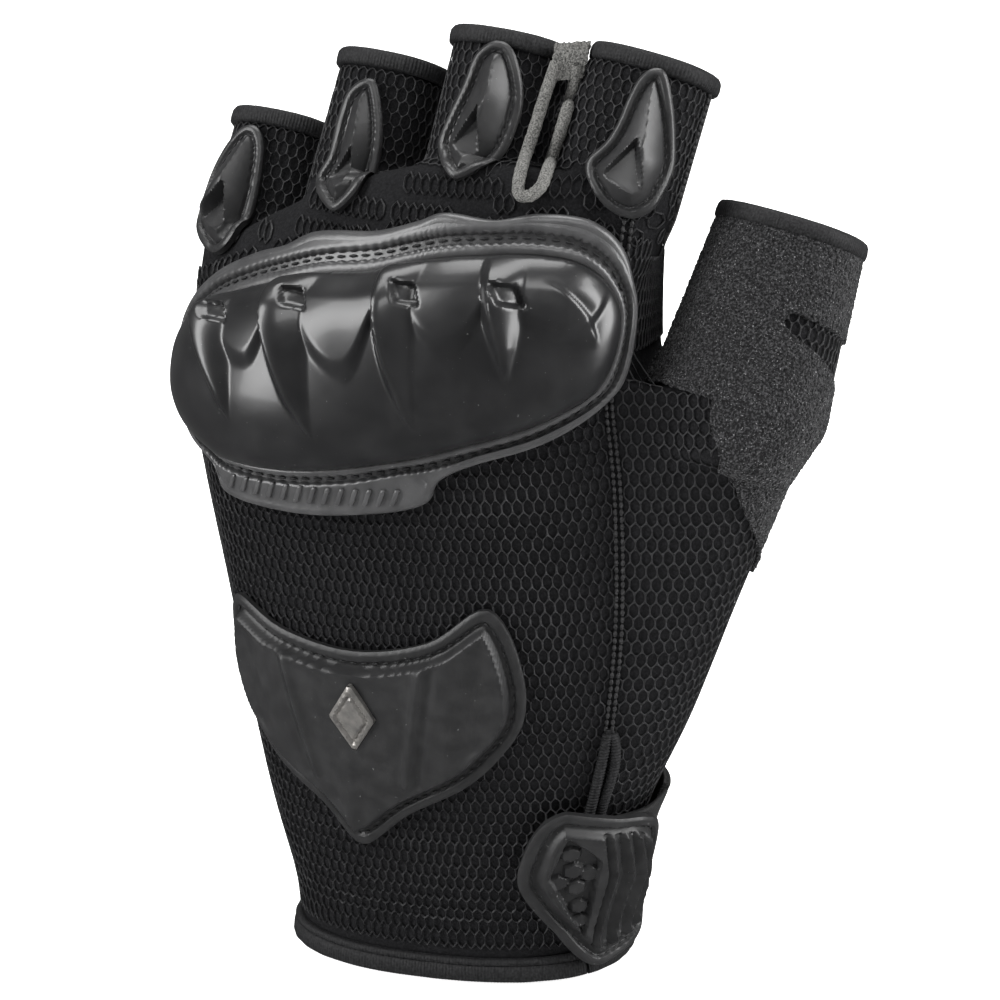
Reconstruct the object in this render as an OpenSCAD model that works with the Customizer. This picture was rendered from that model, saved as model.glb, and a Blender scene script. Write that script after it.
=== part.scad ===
// Fingerless riding glove, left hand, in the shape it has when worn.
// The cuff hem stands on the XY plane. +Z runs up the hand to the fingers,
// -Y is the back of the hand and +X is the thumb side. Millimetres.

/* [Fabric] */
// Thickness of the knitted mesh and of the suede palm
cloth_t = 1.8; // [1.4:0.1:2.2]
// Thickness of the inner lining
lining_t = 0.6; // [0.4:0.1:0.8]
// Height of the binding tape round the cuff
hem_h = 6; // [5:0.5:10]
// Width of the binding tape at each stall's mouth
mouth_hem_h = 3; // [2:0.5:4]

/* [Finger stalls] */
// Length of each stall: little, ring, middle, index
stall_len = [24, 29, 30, 26.5];
// Half width of each stall
stall_w = [10.4, 11, 11.4, 11.6];
// Half depth of each stall
stall_d = [9.5, 10.5, 11, 11];
// Lean of each stall towards the palm, degrees
stall_lean = [32, 30, 28, 27];
// Lean of each stall towards the thumb, degrees
stall_splay = [8, 8.5, 7.5, 13];
// Furthest that a finger stall flexes, degrees
finger_flex = 40; // [30:1:45]
// Furthest that the thumb stall flexes, degrees
thumb_flex = 25; // [15:1:30]

/* [Knuckle guard] */
// Height of the moulded shell over the cloth
guard_rise = 9; // [7:0.5:11]
// Wall of the moulded shell
guard_wall = 1.8; // [1.5:0.1:2.4]
// How far each claw stands out of the shell
claw_rise = 2.4; // [1:0.2:3]

/* [Rubber mouldings] */
// Height of the plate on the back of the hand
plate_rise = 3.6; // [2.5:0.1:4.5]
// Height of each finger cap
cap_rise = 4.4; // [3:0.2:5]
// Height of the closure tab over its strap
tab_rise = 3.2; // [2.5:0.1:4]

/* [Hidden] */

knit = [0.09, 0.09, 0.1];
suede = [0.16, 0.15, 0.15];
tape = [0.13, 0.13, 0.14];
rubber = [0.27, 0.28, 0.3];
gloss = [0.05, 0.05, 0.06];
thread = [0.4, 0.4, 0.42];

lift = 0.3;             // between pieces that lie on each other
seam_a = 58;            // the seam on the thumb side of the back, degrees round the hand
palm_a = 125;           // the seam between the thumb gusset and the palm
little_a = -97;         // the seam along the little finger's side
joint_gap = 0.6;        // between a stall and the hand
crotch_z = 117;         // where the thumb leaves the hand

// ---------- the form of the hand: slanted ovals from the hem to the knuckle line ----------
// [z, centre x, centre y, half width, depth to the back, depth to the palm, arch, skew,
//  slope, crown, rise at the back, rise at the palm, squareness, push out for the thumb]
hand_rows = [
    [0,     3,   0,   33,   19.5, 20.5, 0,   0,    0,   0,   0,    0,    2.3, 0],
    [12,    3,   0,   33,   19.5, 20.5, 0,   0,    0,   0,   0,    0,    2.3, 0],
    [30,    3,   0.3, 36.5, 22,   23,   0,   0,    0,   0,   0,    0,    2.3, 2],
    [50,    4.2, 0.6, 40.5, 24.5, 26,   0,   0,    0,   0,   0,    0,    2.3, 6.5],
    [74,    4.8, 1,   44,   26,   27,   0,   0,    0,   0,   0,    0,    2.3, 12.5],
    [98,    3.6, 1,   46,   26.5, 25,   1,   0,    1,   0,   0,    0,    2.4, 22.5],
    [118,   1.2, 1.5, 46.3, 25,   21,   3,   -1,   3,   1.5, 0,    0,    2.6, 33],
    [133,   0.8, 3,   47,   20,   15,   5.5, -3.5, 6,   4.5, 0.25, 0.5,  2.9, 40],
    [146.3, 1,   4.1, 47.5, 12.6, 11,   8.2, -5.6, 9.5, 7.9, 0.53, 1.15, 3.2, 40]
];
hand_top = hand_rows[len(hand_rows) - 1][0];

function unit(v) = v / norm(v);
function spline(a, b, c, d, t) =
    0.5 * (2 * b + (c - a) * t + (2 * a - 5 * b + 4 * c - d) * t * t + (3 * b - a - 3 * c + d) * t * t * t);
function below(z, i = 0) = i >= len(hand_rows) - 2 || z < hand_rows[i + 1][0] ? i : below(z, i + 1);
function row_at(z) =
    let (
        i = below(z), n = len(hand_rows) - 1,
        t = (z - hand_rows[i][0]) / (hand_rows[i + 1][0] - hand_rows[i][0])
    )
    spline(hand_rows[max(i - 1, 0)], hand_rows[i], hand_rows[i + 1], hand_rows[min(i + 2, n)], t);
// A squared circle: sine and cosine of a, pushed out towards the corners
function squared(a, n) = [sin(a), cos(a)] * pow(pow(abs(sin(a)), n) + pow(abs(cos(a)), n), -1 / n);
// How far the gusset bulges for the thumb, 0 at its two seams
function bulge(a) =
    let (q = abs(2 * a - seam_a - palm_a) / (palm_a - seam_a))
    q < 1 ? pow(1 - pow(q, 2.8), 0.36) : 0;
// a runs round the hand from the middle of its back towards the thumb
function hand_point(a, z, thumb) =
    let (r = row_at(z), p = squared(a, r[12]), s = p[0], c = p[1])
    [
        r[1] + r[3] * s + (thumb ? r[13] * bulge(a) : 0),
        r[2] - (c > 0 ? r[4] : r[5]) * c + r[6] * s * s + r[7] * s,
        r[0] + r[8] * s - r[9] * s * s + (c > 0 ? r[10] * r[4] : r[11] * r[5]) * c
    ];
// A point at height h over the surface f(u, v)
function over(f, u, v, h, du = 1, dv = 0.5) =
    h == 0 ? f(u, v)
           : f(u, v) + h * unit(cross(f(u + du, v) - f(u - du, v), f(u, v + dv) - f(u, v - dv)));
plain = function (a, z, h) over(function (u, v) hand_point(u, v, false), a, z, h);
worn = function (a, z, h) over(function (u, v) hand_point(u, v, true), a, z, h);
// The back of the hand in millimetres from its middle line
function back_angle(u) = u / 0.82 + 0.00009 * u * u * u;
back = function (u, z, h) plain(back_angle(u), z, h);
// The thumb side of the wrist in millimetres
wrist_mm = 0.48;
wrist = function (w, z, h) worn(w / wrist_mm, z, h);

// ---------- the knuckle line that the finger stalls stand on ----------
function knuckle_z(x) = 146.3 + 0.2 * x - 0.0034 * x * x;
function knuckle_y(x) = 4.2 - 5.6 * x / 48 + 8.2 * x * x / 48 / 48;
side_drop = 2;        // furthest that a stall's edge reaches below its hinge
back_slope = 0.53;      // the stalls' lower edges rise this much per mm towards the back

// ---------- finger and thumb stalls: tapered tubes ----------
finger_x = [-35.5, -10.5, 14.5, 40];
stall_taper = 0.96;
function axes(lean, splay) =
    let (z = unit([tan(splay), tan(lean), 1]), x = unit([z[2], 0, -z[0]]))
    [x, cross(z, x), z];
// [base, axes, half width, half depth, length]
function finger(i) = [
    [finger_x[i], knuckle_y(finger_x[i]), knuckle_z(finger_x[i])],
    axes(stall_lean[i], stall_splay[i]), stall_w[i], stall_d[i], stall_len[i]
];
thumb_base = [63, 2, 112];
thumb_len = 35;
thumb_frame = [thumb_base, axes(27, 13), 16, 15, thumb_len];
thumb_taper = 0.82;
function stall_point(p, taper, a, s) =
    let (q = squared(a, 2.4), k = 1 + (taper - 1) * s / p[4])
    p[0] + p[1][0] * p[2] * k * q[0] - p[1][1] * p[3] * k * q[1] + p[1][2] * s;
function stall(p, taper) = function (a, s, h) over(function (u, v) stall_point(p, taper, u, v), a, s, h);
// Where a finger stall starts, so that it clears the hand's edge when it flexes
function finger_start(p, a, lean) =
    let (
        q = stall_point(p, stall_taper, a, 0), dy = q[1] - knuckle_y(q[0]),
        k = dy < 0 ? -back_slope : -tan(max(lean - finger_flex / 2, 4)),
        low = max(knuckle_z(q[0]) + k * dy + joint_gap, p[0][2] - side_drop)
    )
    (low - q[2]) / (p[1][2][2] - k * p[1][2][1]);
function thumb_start(a) = joint_gap + max(0, -cos(a)) * thumb_frame[3] * tan(thumb_flex / 2);
// The gusset's top edge lies in the plane across the thumb's base
near_z = 108;
function gusset_top(a) = gusset_edge(a, gusset_edge(a, near_z));
function gusset_edge(a, near_z) =
    let (
        at = hand_point(a, near_z, true), q = at - thumb_base, n = thumb_frame[1][2], e = thumb_frame[1][1] * q
    )
    near_z - n * q / n[2] - joint_gap - max(0, e) * tan(thumb_flex / 2);

// ---------- closed solids from grids and rings of points ----------
function span(a, b, n) = [for (i = [0:n]) a + (b - a) * i / n];
// A sheet over f(u, v, h) between two heights
module panel(f, u, v, low, high, nu, nv) {
    us = span(u[0], u[1], nu);
    vs = span(v[0], v[1], nv);
    m = (nu + 1) * (nv + 1);
    function id(i, j) = i * (nv + 1) + j;
    polyhedron(
        concat([for (a = us, b = vs) f(a, b, high)], [for (a = us, b = vs) f(a, b, low)]),
        concat(
            [for (i = [0:nu - 1], j = [0:nv - 1]) each [
                [id(i, j), id(i, j + 1), id(i + 1, j + 1)], [id(i, j), id(i + 1, j + 1), id(i + 1, j)],
                [m + id(i, j), m + id(i + 1, j + 1), m + id(i, j + 1)],
                [m + id(i, j), m + id(i + 1, j), m + id(i + 1, j + 1)]
            ]],
            [for (i = [0:nu - 1]) each strip(id(i, 0), id(i + 1, 0), m)],
            [for (i = [0:nu - 1]) each strip(id(i + 1, nv), id(i, nv), m)],
            [for (j = [0:nv - 1]) each strip(id(0, j + 1), id(0, j), m)],
            [for (j = [0:nv - 1]) each strip(id(nu, j), id(nu, j + 1), m)]
        ),
        convexity = 8
    );
}
function strip(a, b, m) = [[a, b, b + m], [a, b + m, a + m]];
// Rings of points joined one to the next: a torus, or a solid closed by a point at each end
module rings(list, ends = []) {
    n = len(list);
    m = len(list[0]);
    last = len(ends) ? n - 2 : n - 1;
    function id(i, j) = (i % n) * m + j % m;
    polyhedron(
        concat([for (r = list) each r], ends),
        concat(
            [for (i = [0:last], j = [0:m - 1]) each [
                [id(i, j), id(i + 1, j), id(i + 1, j + 1)], [id(i, j), id(i + 1, j + 1), id(i, j + 1)]
            ]],
            len(ends) ? [for (j = [0:m - 1]) each [
                [n * m, id(0, j), id(0, j + 1)], [n * m + 1, id(n - 1, j + 1), id(n - 1, j)]
            ]] : []
        ),
        convexity = 8
    );
}
// A tube of cloth or tape round a stall or the cuff
module band(f, v0, v1, low, high, n) {
    rings([for (i = [0:n - 1]) let (a = 360 * i / n) [f(a, v0, high), f(a, v0, low), f(a, v1, low), f(a, v1, high)]]);
}
// A closed outline through hand-set points, n steps for each
function outline(p, n) =
    let (m = len(p))
    [for (i = [0:m - 1], k = [0:n - 1]) spline(p[(i + m - 1) % m], p[i], p[(i + 1) % m], p[(i + 2) % m], k / n)];
function middle(p) = [for (k = [0, 1]) (max([for (q = p) q[k]]) + min([for (q = p) q[k]])) / 2];
function inset(p, c, d, r) = [for (q = p) let (v = q - c) c + v * max(0, 1 - d / norm(v)) * r];
// A moulding over f: top and bottom are lists of [inset mm, share of the way out, height],
// both from the middle outwards; rise(u, v) is added to the top
module moulding(f, edge, c, top, bottom, rise = function (u, v) 0) {
    function ring(t, k) = [for (q = inset(edge, c, t[0], t[1])) f(q[0], q[1], t[2] + k * rise(q[0], q[1]))];
    rings(
        concat([for (t = top) ring(t, 1)], [for (i = [len(bottom) - 1:-1:0]) ring(bottom[i], 0)]),
        [f(c[0], c[1], top[0][2] + rise(c[0], c[1])), f(c[0], c[1], bottom[0][2])]
    );
}
// A rib of thread or rubber that follows an outline
module thread_ring(f, edge, c, d, w, low, high) {
    rings([for (t = [[d, high], [d, low], [d + w, low], [d + w, high]])
        [for (q = inset(edge, c, t[0], 1)) f(q[0], q[1], t[1])]]);
}

// ---------- the hand ----------
module back_panel() color(knit) panel(plain, [little_a + 0.5, seam_a - 0.4], [0, hand_top], -cloth_t, 0, 22, 14);
module palm_panel() color(suede) panel(plain, [palm_a + 0.3, 360 + little_a], [0, hand_top], -cloth_t, 0, 22, 14);
module thumb_gusset() color(knit)
    panel(function (a, v, h) worn(a, v * gusset_top(a), h), [seam_a + 0.4, palm_a], [0, 1], -cloth_t, 0, 18, 12);
module index_side_panel() color(knit)
    panel(plain, [seam_a, palm_a], [crotch_z, hand_top], -cloth_t, 0, 10, 6);
// Two small pieces of cloth that close the hand beside the thumb's base
module thumb_web() color(knit) for (side = [[0.4, 0.15], [0.85, 0.6]])
    panel(
        function (s, v, h) let (
            fold = 5 * max(0, 2 * s - 1),
            hand_edge = plain(seam_a + (palm_a - seam_a) * s, crotch_z - 0.5 - fold, -cloth_t),
            a = -180 * s, q = thumb_frame, e = stall_point(q, thumb_taper, a, 0),
            drop = joint_gap + max(0, -cos(a)) * q[3] * tan(thumb_flex / 2)
        ) hand_edge * (1 - v) + (e - drop * q[1][2]) * v + [0, 0, h],
        side, [0.1, 0.6], -cloth_t, 0, 6, 3
    );
// The cloth between two neighbouring stalls
module finger_webs() color(knit) for (i = [0:2]) {
    x = (finger_x[i] + stall_w[i] + finger_x[i + 1] - stall_w[i + 1]) / 2;
    y = knuckle_y(x);
    z = knuckle_z(x);
    web_t = 1.2;
    translate([x, y, z]) rotate([90, 0, 90]) translate([0, 0, -web_t / 2]) linear_extrude(web_t)
        polygon([[-8, 3.6], [0, -0.8], [7, -8.5], [7, -12], [-8, -6]]);
}
module back_lining() color(suede)
    panel(plain, [little_a + 4, seam_a - 3], [2, hand_top - 6], -cloth_t - 2 * lift - lining_t, -cloth_t - 2 * lift, 16, 9);
module cuff_binding() color(tape) panel(plain, [seam_a + 2, seam_a + 357], [0, hem_h], lift, 1.5, 44, 2);
module slit_binding() color(tape) for (a = [[seam_a - 4, seam_a - 0.6], [seam_a + 0.6, seam_a + 4]])
    panel(worn, a, [hem_h + 0.5, 52], lift, 1.2, 3, 8);

// ---------- the knuckle guard ----------
guard_outer = outline([
    [-48, 119], [-46, 126], [-40, 133], [-32, 137], [-24, 138.5], [-18, 138.8], [-12, 140], [0, 139.2],
    [8, 140], [13, 141], [21, 140], [27, 141], [34, 140.5], [40, 137], [43.5, 131], [44, 125],
    [42.5, 119], [38, 114.5], [29, 109.5], [19, 106.5], [12, 103.5], [8, 99], [-6, 96.5], [-19, 95.8],
    [-32, 97.2], [-34, 102], [-41, 107], [-46, 112]
], 2);
guard_inner = outline([
    [-43.5, 119], [-41.5, 125], [-36.5, 130], [-30, 132.5], [-23, 133.5], [-17, 134], [-10, 134.5], [0, 134.3],
    [8, 135], [13, 135.5], [20, 135.8], [26, 136], [32, 135.5], [36.5, 133.5], [39.5, 129.5], [40, 125],
    [38.5, 120], [34.5, 116.3], [27, 112.8], [17, 110], [9, 108], [2, 106.8], [-8, 105.3], [-19, 104.5],
    [-29, 105], [-34, 107], [-39.5, 110.5], [-42.5, 114.5]
], 2);
guard_middle = [-1, 120];
// Each claw: top point, tip, half width
claws = [[[-30, 130], [-25, 112], 5], [[-16, 132], [-8, 110], 6], [[5, 133], [10, 112], 6], [[23, 133], [26, 119], 5]];
function claw(c, u, v) =
    let (
        along = c[1] - c[0], t = ([u, v] - c[0]) * along / (along * along),
        k = min(max(t, 0), 1), off = norm([u, v] - c[0] - along * k), w = c[2] * (1.1 - k)
    )
    off < w ? claw_rise * (1 - off / w) : 0;
claw_height = function (u, v) max([for (c = claws) claw(c, u, v)]);
// [height, share] of the dome from its middle to its edge
dome = [[1, 0.18], [0.98, 0.36], [0.94, 0.52], [0.87, 0.66], [0.77, 0.78], [0.63, 0.88], [0.46, 0.95]];
shell_edge = 2.1;
foam_edge = 4.5;
foam_gap = 1;
module knuckle_foam() color([0.2, 0.2, 0.22]) moulding(
    back, guard_inner, guard_middle,
    concat([for (d = dome) [foam_edge, d[1], guard_rise * d[0] - guard_wall - foam_gap]], [[foam_edge, 1, 1.2]]),
    [for (r = [0.15:0.17:1]) [foam_edge, r, lift]]
);
module guard_shell() color(gloss) moulding(
    back, guard_inner, guard_middle,
    concat([for (d = dome) [0.5, d[1], guard_rise * d[0]]], [[0.5, 1, 2.6], [0.3, 1, 0.3]]),
    concat([for (d = dome) [shell_edge, d[1], guard_rise * d[0] - guard_wall]], [[shell_edge, 1, 0.3]]),
    claw_height
);
function between(t) = [for (i = [0:len(guard_outer) - 1]) guard_outer[i] * (1 - t) + guard_inner[i] * t];
// The band between the two outlines: section lists [share of the way in, height]
module guard_band(section) rings([for (t = section) [for (q = between(t[0])) back(q[0], q[1], t[1])]]);
module guard_frame() color(rubber) guard_band([
    [0.7, 2.4], [0.6, 1.5], [0.36, 1.5], [0.28, 2.6], [0.1, 2.6], [0, 1.6], [0, lift], [0.5, lift], [1, lift], [1, 2.6]
]);
module guard_stitching() color(thread) guard_band([[0.43, 1.95], [0.43, 1.6], [0.53, 1.6], [0.53, 1.95]]);

// ---------- the plate on the back of the hand ----------
plate_edge = outline([
    [-13, 28], [-22, 36], [-33, 43], [-41, 52], [-43, 64], [-38, 75], [-26, 71], [-10, 69], [6, 72], [18, 79],
    [24, 67], [24, 55], [15, 44], [0, 36]
], 3);
plate_middle = [-10, 56];
module back_plate() color(rubber) moulding(
    back, plate_edge, plate_middle,
    [[5, 0.3, plate_rise], [5, 0.7, plate_rise], [5, 1, 2.8], [4, 1, 1.3], [2, 1, 1.3], [1.6, 1, 2], [0.6, 1, 2],
        [0, 1, 1.4]],
    [for (r = [0.2:0.2:1]) [0, r, lift]]
);
module back_plate_lozenge() color([0.6, 0.6, 0.62]) moulding(
    back, [[-10, 50], [-15, 57], [-10, 64], [-5, 57]], [-10, 57],
    [[0.6, 0.5, plate_rise + 1], [0.6, 1, plate_rise + 1], [0, 1, plate_rise + 0.6]],
    [[0, 0.5, plate_rise + 0.05], [0, 1, plate_rise + 0.05]]
);
module back_plate_stitching() color(thread) thread_ring(back, plate_edge, plate_middle, 2.6, 0.6, 1.35, 1.75);

// ---------- the palm ----------
module palm_patch() color(suede) panel(plain, [140, 235], [62, 112], lift, 1.3, 14, 7);
module heel_pad() color(suede) panel(plain, [170, 240], [18, 56], lift, 3, 10, 6);

// ---------- the wrist closure ----------
module loop_patch() color(tape) panel(worn, [38, 53], [12, 34], lift, 0.7, 4, 5);
module hook_patch() color(tape) panel(worn, [39, 52.5], [13, 33], 0.85, 1.5, 4, 5);
strap_end = 96;         // the fold that the strap peels back from, degrees round the wrist
module closure_strap() color(tape) panel(worn, [37, strap_end - 0.5], [9, 35], 1.6, 2.6, 16, 6);
module strap_anchor() color(tape) panel(worn, [strap_end + 4.5, 152], [9, 35], 0.9, 2.6, 12, 5);
tab_edge = outline([
    [16.5, 22], [20, 30], [25, 35.5], [33, 36.5], [43, 36], [45, 30], [45, 20], [44, 10], [38, 6], [29, 5.5], [22, 10]
], 3);
tab_middle = [31, 21];
tab_low = 3;          // the top of the strap under the tab
module closure_tab() color(rubber) moulding(
    wrist, tab_edge, tab_middle,
    [[4.5, 0.4, tab_low + tab_rise], [4.5, 0.8, tab_low + tab_rise], [4.5, 1, tab_low + 2.4], [3.8, 1, tab_low + 1.1],
        [1.8, 1, tab_low + 1.1], [1.4, 1, tab_low + 1.7], [0.6, 1, tab_low + 1.7], [0, 1, tab_low + 1.1]],
    [[0, 0.3, tab_low], [0, 0.6, tab_low], [0, 0.85, tab_low], [0, 1, tab_low]]
);
module tab_stitching() color(thread)
    thread_ring(wrist, tab_edge, tab_middle, 2.5, 0.6, tab_low + 1.15, tab_low + 1.55);

// ---------- the finger stalls ----------
cap_turn = [-35, -17, 5, 16];   // how far each cap sits round its finger, degrees
cap_outline = [
    [0, 1], [-4.5, 4.5], [-7.4, 9], [-7, 13], [-4.8, 18.5], [-3, 24], [0, 26], [3, 24], [4.8, 18.5], [7, 13],
    [7.4, 9], [4.5, 4.5]
];
cap_length = 26;
module stall_half(p, taper, start, a)
    color(knit) panel(
        function (u, v, h) let (s = start(u)) stall(p, taper)(u, s + v * (p[4] - s), h),
        a, [0, 1], -cloth_t, 0, 10, 7
    );
module finger_half(i, a) stall_half(finger(i), stall_taper, function (u) finger_start(finger(i), u, stall_lean[i]), a);
module finger_hem(i) color(tape)
    band(stall(finger(i), stall_taper), stall_len[i] - mouth_hem_h, stall_len[i] + 0.4, lift, 0.9, 24);
// The cap's outline in millimetres over the finger
function cap_edge(i) =
    let (k = min(1, (stall_len[i] - 1) / cap_length))
    outline([for (q = cap_outline) [q[0] * k, q[1] * k + 0.6]], 3);
function cap_face(i) =
    let (deg = 57.3 / stall_w[i], f = stall(finger(i), stall_taper))
    function (u, s, h) f(cap_turn[i] + u * deg, s, h + 1);
module finger_cap(i) color(rubber) moulding(
    cap_face(i), cap_edge(i), [0, 11],
    [[3, 0.3, cap_rise], [3, 0.7, cap_rise - 0.4], [3, 1, 2.2], [2.6, 1, 0.9], [1.3, 1, 0.9], [1, 1, 1.4], [0.3, 1, 1.4],
        [0, 1, 0.9]],
    [[0, 0.5, lift], [0, 1, lift]]
);
module cap_stitching(i) color(thread) thread_ring(cap_face(i), cap_edge(i), [0, 11], 1.7, 0.5, 0.95, 1.3);
half_back = [-90, 89];
half_palm = [90, 269];
module little_back() finger_half(0, half_back);
module little_palm() finger_half(0, half_palm);
module little_cap() finger_cap(0);
module little_cap_stitching() cap_stitching(0);
module little_hem() finger_hem(0);
module ring_back() finger_half(1, half_back);
module ring_palm() finger_half(1, half_palm);
module ring_cap() finger_cap(1);
module ring_cap_stitching() cap_stitching(1);
module ring_hem() finger_hem(1);
module middle_back() finger_half(2, half_back);
module middle_palm() finger_half(2, half_palm);
module middle_cap() finger_cap(2);
module middle_cap_stitching() cap_stitching(2);
module middle_hem() finger_hem(2);
module index_back() finger_half(3, half_back);
module index_palm() finger_half(3, half_palm);
module index_cap() finger_cap(3);
module index_cap_stitching() cap_stitching(3);
module index_hem() finger_hem(3);
// A folded tape on the side of the index stall, to pull the glove off by
module pull_loop() color([0.5, 0.5, 0.52])
    panel(stall(finger(3), stall_taper), [-84, -62], [2, stall_len[3] - mouth_hem_h - 0.2], lift, 1, 3, 6);

// ---------- the thumb stall ----------
thumb = stall(thumb_frame, thumb_taper);
module thumb_back() stall_half(thumb_frame, thumb_taper, function (a) thumb_start(a), half_back);
module thumb_palm() stall_half(thumb_frame, thumb_taper, function (a) thumb_start(a), half_palm);
module thumb_hem() color(tape) band(thumb, thumb_len - mouth_hem_h, thumb_len + 0.4, lift, 0.9, 24);
// Rough towelling for wiping a brow: it runs from the thumb's mouth down over its base
module thumb_wipe_patch() color([0.24, 0.24, 0.26])
    panel(thumb, [-25, 115], [7.5, thumb_len - mouth_hem_h - 0.3], lift, 1, 12, 5);
module wipe_patch_tail() color([0.24, 0.24, 0.26]) panel(
    function (a, v, h) let (top = gusset_top(a) - 1, tip = 84) worn(a, tip + (top - tip) * v, h),
    [76, 104], [0, 1], lift, 1, 8, 4
);

back_panel();
palm_panel();
thumb_gusset();
index_side_panel();
thumb_web();
finger_webs();
back_lining();
cuff_binding();
slit_binding();
knuckle_foam();
guard_frame();
guard_shell();
guard_stitching();
back_plate();
back_plate_lozenge();
back_plate_stitching();
palm_patch();
heel_pad();
loop_patch();
strap_anchor();
wipe_patch_tail();
closure_strap();
hook_patch();
closure_tab();
tab_stitching();
little_back();
little_palm();
little_cap();
little_cap_stitching();
little_hem();
ring_back();
ring_palm();
ring_cap();
ring_cap_stitching();
ring_hem();
middle_back();
middle_palm();
middle_cap();
middle_cap_stitching();
middle_hem();
index_back();
index_palm();
index_cap();
index_cap_stitching();
index_hem();
pull_loop();
thumb_back();
thumb_palm();
thumb_wipe_patch();
thumb_hem();
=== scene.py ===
import math

import bpy
import numpy as np
from mathutils import Matrix, Vector, noise
from mathutils.bvhtree import BVHTree


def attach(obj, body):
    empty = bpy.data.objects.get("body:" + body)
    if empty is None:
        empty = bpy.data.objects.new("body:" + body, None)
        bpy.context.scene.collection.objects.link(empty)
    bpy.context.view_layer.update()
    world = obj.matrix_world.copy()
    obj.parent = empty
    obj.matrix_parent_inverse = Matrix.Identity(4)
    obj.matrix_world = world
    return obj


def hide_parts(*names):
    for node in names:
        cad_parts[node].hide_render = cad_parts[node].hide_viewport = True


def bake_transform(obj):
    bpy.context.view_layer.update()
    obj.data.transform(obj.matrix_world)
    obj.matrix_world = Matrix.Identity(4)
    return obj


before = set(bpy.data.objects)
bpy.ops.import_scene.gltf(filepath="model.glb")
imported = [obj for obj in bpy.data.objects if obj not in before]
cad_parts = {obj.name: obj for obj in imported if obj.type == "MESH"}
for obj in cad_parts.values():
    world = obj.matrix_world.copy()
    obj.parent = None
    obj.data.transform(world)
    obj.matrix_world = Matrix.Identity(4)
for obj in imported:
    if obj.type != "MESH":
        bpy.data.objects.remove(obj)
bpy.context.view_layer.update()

MM = 0.001
RADIAN = 57.3  # degrees

# ---- Studio ----
# A pale floor swept out of sight, two tall soft boxes at the sides, one overhead and a weak one in front,
# as small black goods are lit so that their edges shine.
bpy.ops.object.select_all(action="DESELECT")
turn, rise, roll = math.radians(22), math.radians(20), math.radians(3.5)
level = Vector((math.cos(turn), math.sin(turn), 0))
toward = Vector((math.sin(turn) * math.cos(rise), -math.cos(turn) * math.cos(rise), math.sin(rise)))
upright = toward.cross(level)
camera_right = level * math.cos(roll) - upright * math.sin(roll)
camera_up = level * math.sin(roll) + upright * math.cos(roll)
aim = Vector((0, 0, 0.09)) + camera_right * 0.015
stand = aim + toward * 0.8
bpy.ops.object.camera_add(location=stand)
camera = bpy.context.object
camera.matrix_world = Matrix(
    [(camera_right[k], camera_up[k], toward[k], stand[k]) for k in range(3)] + [(0, 0, 0, 1)]
)
camera.data.lens = 152.6
camera.data.clip_start = 0.01
bpy.context.scene.camera = camera
bpy.context.scene.view_settings.view_transform = "Standard"

bpy.ops.mesh.primitive_plane_add(size=8, location=(0, 0, -0.0005))
floor = bpy.context.object
floor.name = "studio_floor"
paper = bpy.data.materials.new("floor_paper")
paper.use_nodes = True
paper_skin = paper.node_tree.nodes["Principled BSDF"]
paper_skin.inputs["Base Color"].default_value = (0.92, 0.92, 0.92, 1)
paper_skin.inputs["Roughness"].default_value = 0.9
paper_skin.inputs["Emission Color"].default_value = (1, 1, 1, 1)
paper_skin.inputs["Emission Strength"].default_value = 0.9
floor.data.materials.append(paper)
floor.visible_glossy = False


def soft_box(name, place, width, height, power):
    """an area lamp at place, in metres right, up and toward the camera from the glove, facing the glove"""
    at = aim + camera_right * place[0] + camera_up * place[1] + toward * place[2]
    bpy.ops.object.light_add(type="AREA", location=at)
    lamp = bpy.context.object
    lamp.name = name
    lamp.data.shape = "RECTANGLE"
    lamp.data.size, lamp.data.size_y = width, height
    lamp.data.energy = power
    lamp.rotation_euler = (aim - at).to_track_quat("-Z", "Y").to_euler()


soft_box("left_box", (-0.95, 0.35, 0.45), 0.35, 1.1, 16)
soft_box("right_box", (1.0, 0.25, 0.35), 0.4, 1.2, 20)
soft_box("top_box", (0, 1.2, 0.1), 1.0, 0.6, 14)
soft_box("front_box", (0.1, 0.9, 1.2), 0.8, 0.4, 7)
studio = bpy.data.worlds.new("studio_air")
bpy.context.scene.world = studio
studio.use_nodes = True
studio.node_tree.nodes["Background"].inputs["Color"].default_value = (1, 1, 1, 1)
studio.node_tree.nodes["Background"].inputs["Strength"].default_value = 0.12

# ---- Cloth body ----
# One fitted form, cut and sewn from black cloth: slanted ovals from the hem to the knuckles, a gusset that
# bulges for the thumb, and five open stalls. It is shaped as one skin and then parted along its seams.
# Each row: height, middle x and y, half width, depth to the back and to the palm, arch, skew, slope, crown,
# rise at the back and at the palm, squareness, push out for the thumb
HAND_ROWS = [
    (0, 3, 0, 33, 19.5, 20.5, 0, 0, 0, 0, 0, 0, 2.3, 0),
    (12, 3, 0, 33, 19.5, 20.5, 0, 0, 0, 0, 0, 0, 2.3, 0),
    (30, 3, 0.3, 36.5, 22, 23, 0, 0, 0, 0, 0, 0, 2.3, 2),
    (50, 4.2, 0.6, 40.5, 24.5, 26, 0, 0, 0, 0, 0, 0, 2.3, 6.5),
    (74, 4.8, 1, 44, 26, 27, 0, 0, 0, 0, 0, 0, 2.3, 12.5),
    (98, 3.6, 1, 46, 26.5, 25, 1, 0, 1, 0, 0, 0, 2.4, 22.5),
    (118, 1.2, 1.5, 46.3, 25, 21, 3, -1, 3, 1.5, 0, 0, 2.6, 33),
    (133, 0.8, 3, 47, 20, 15, 5.5, -3.5, 6, 4.5, 0.25, 0.5, 2.9, 40),
    (146.3, 1, 4.1, 47.5, 12.6, 11, 8.2, -5.6, 9.5, 7.9, 0.53, 1.15, 3.2, 40),
]
HAND_TOP = 146.3
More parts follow.
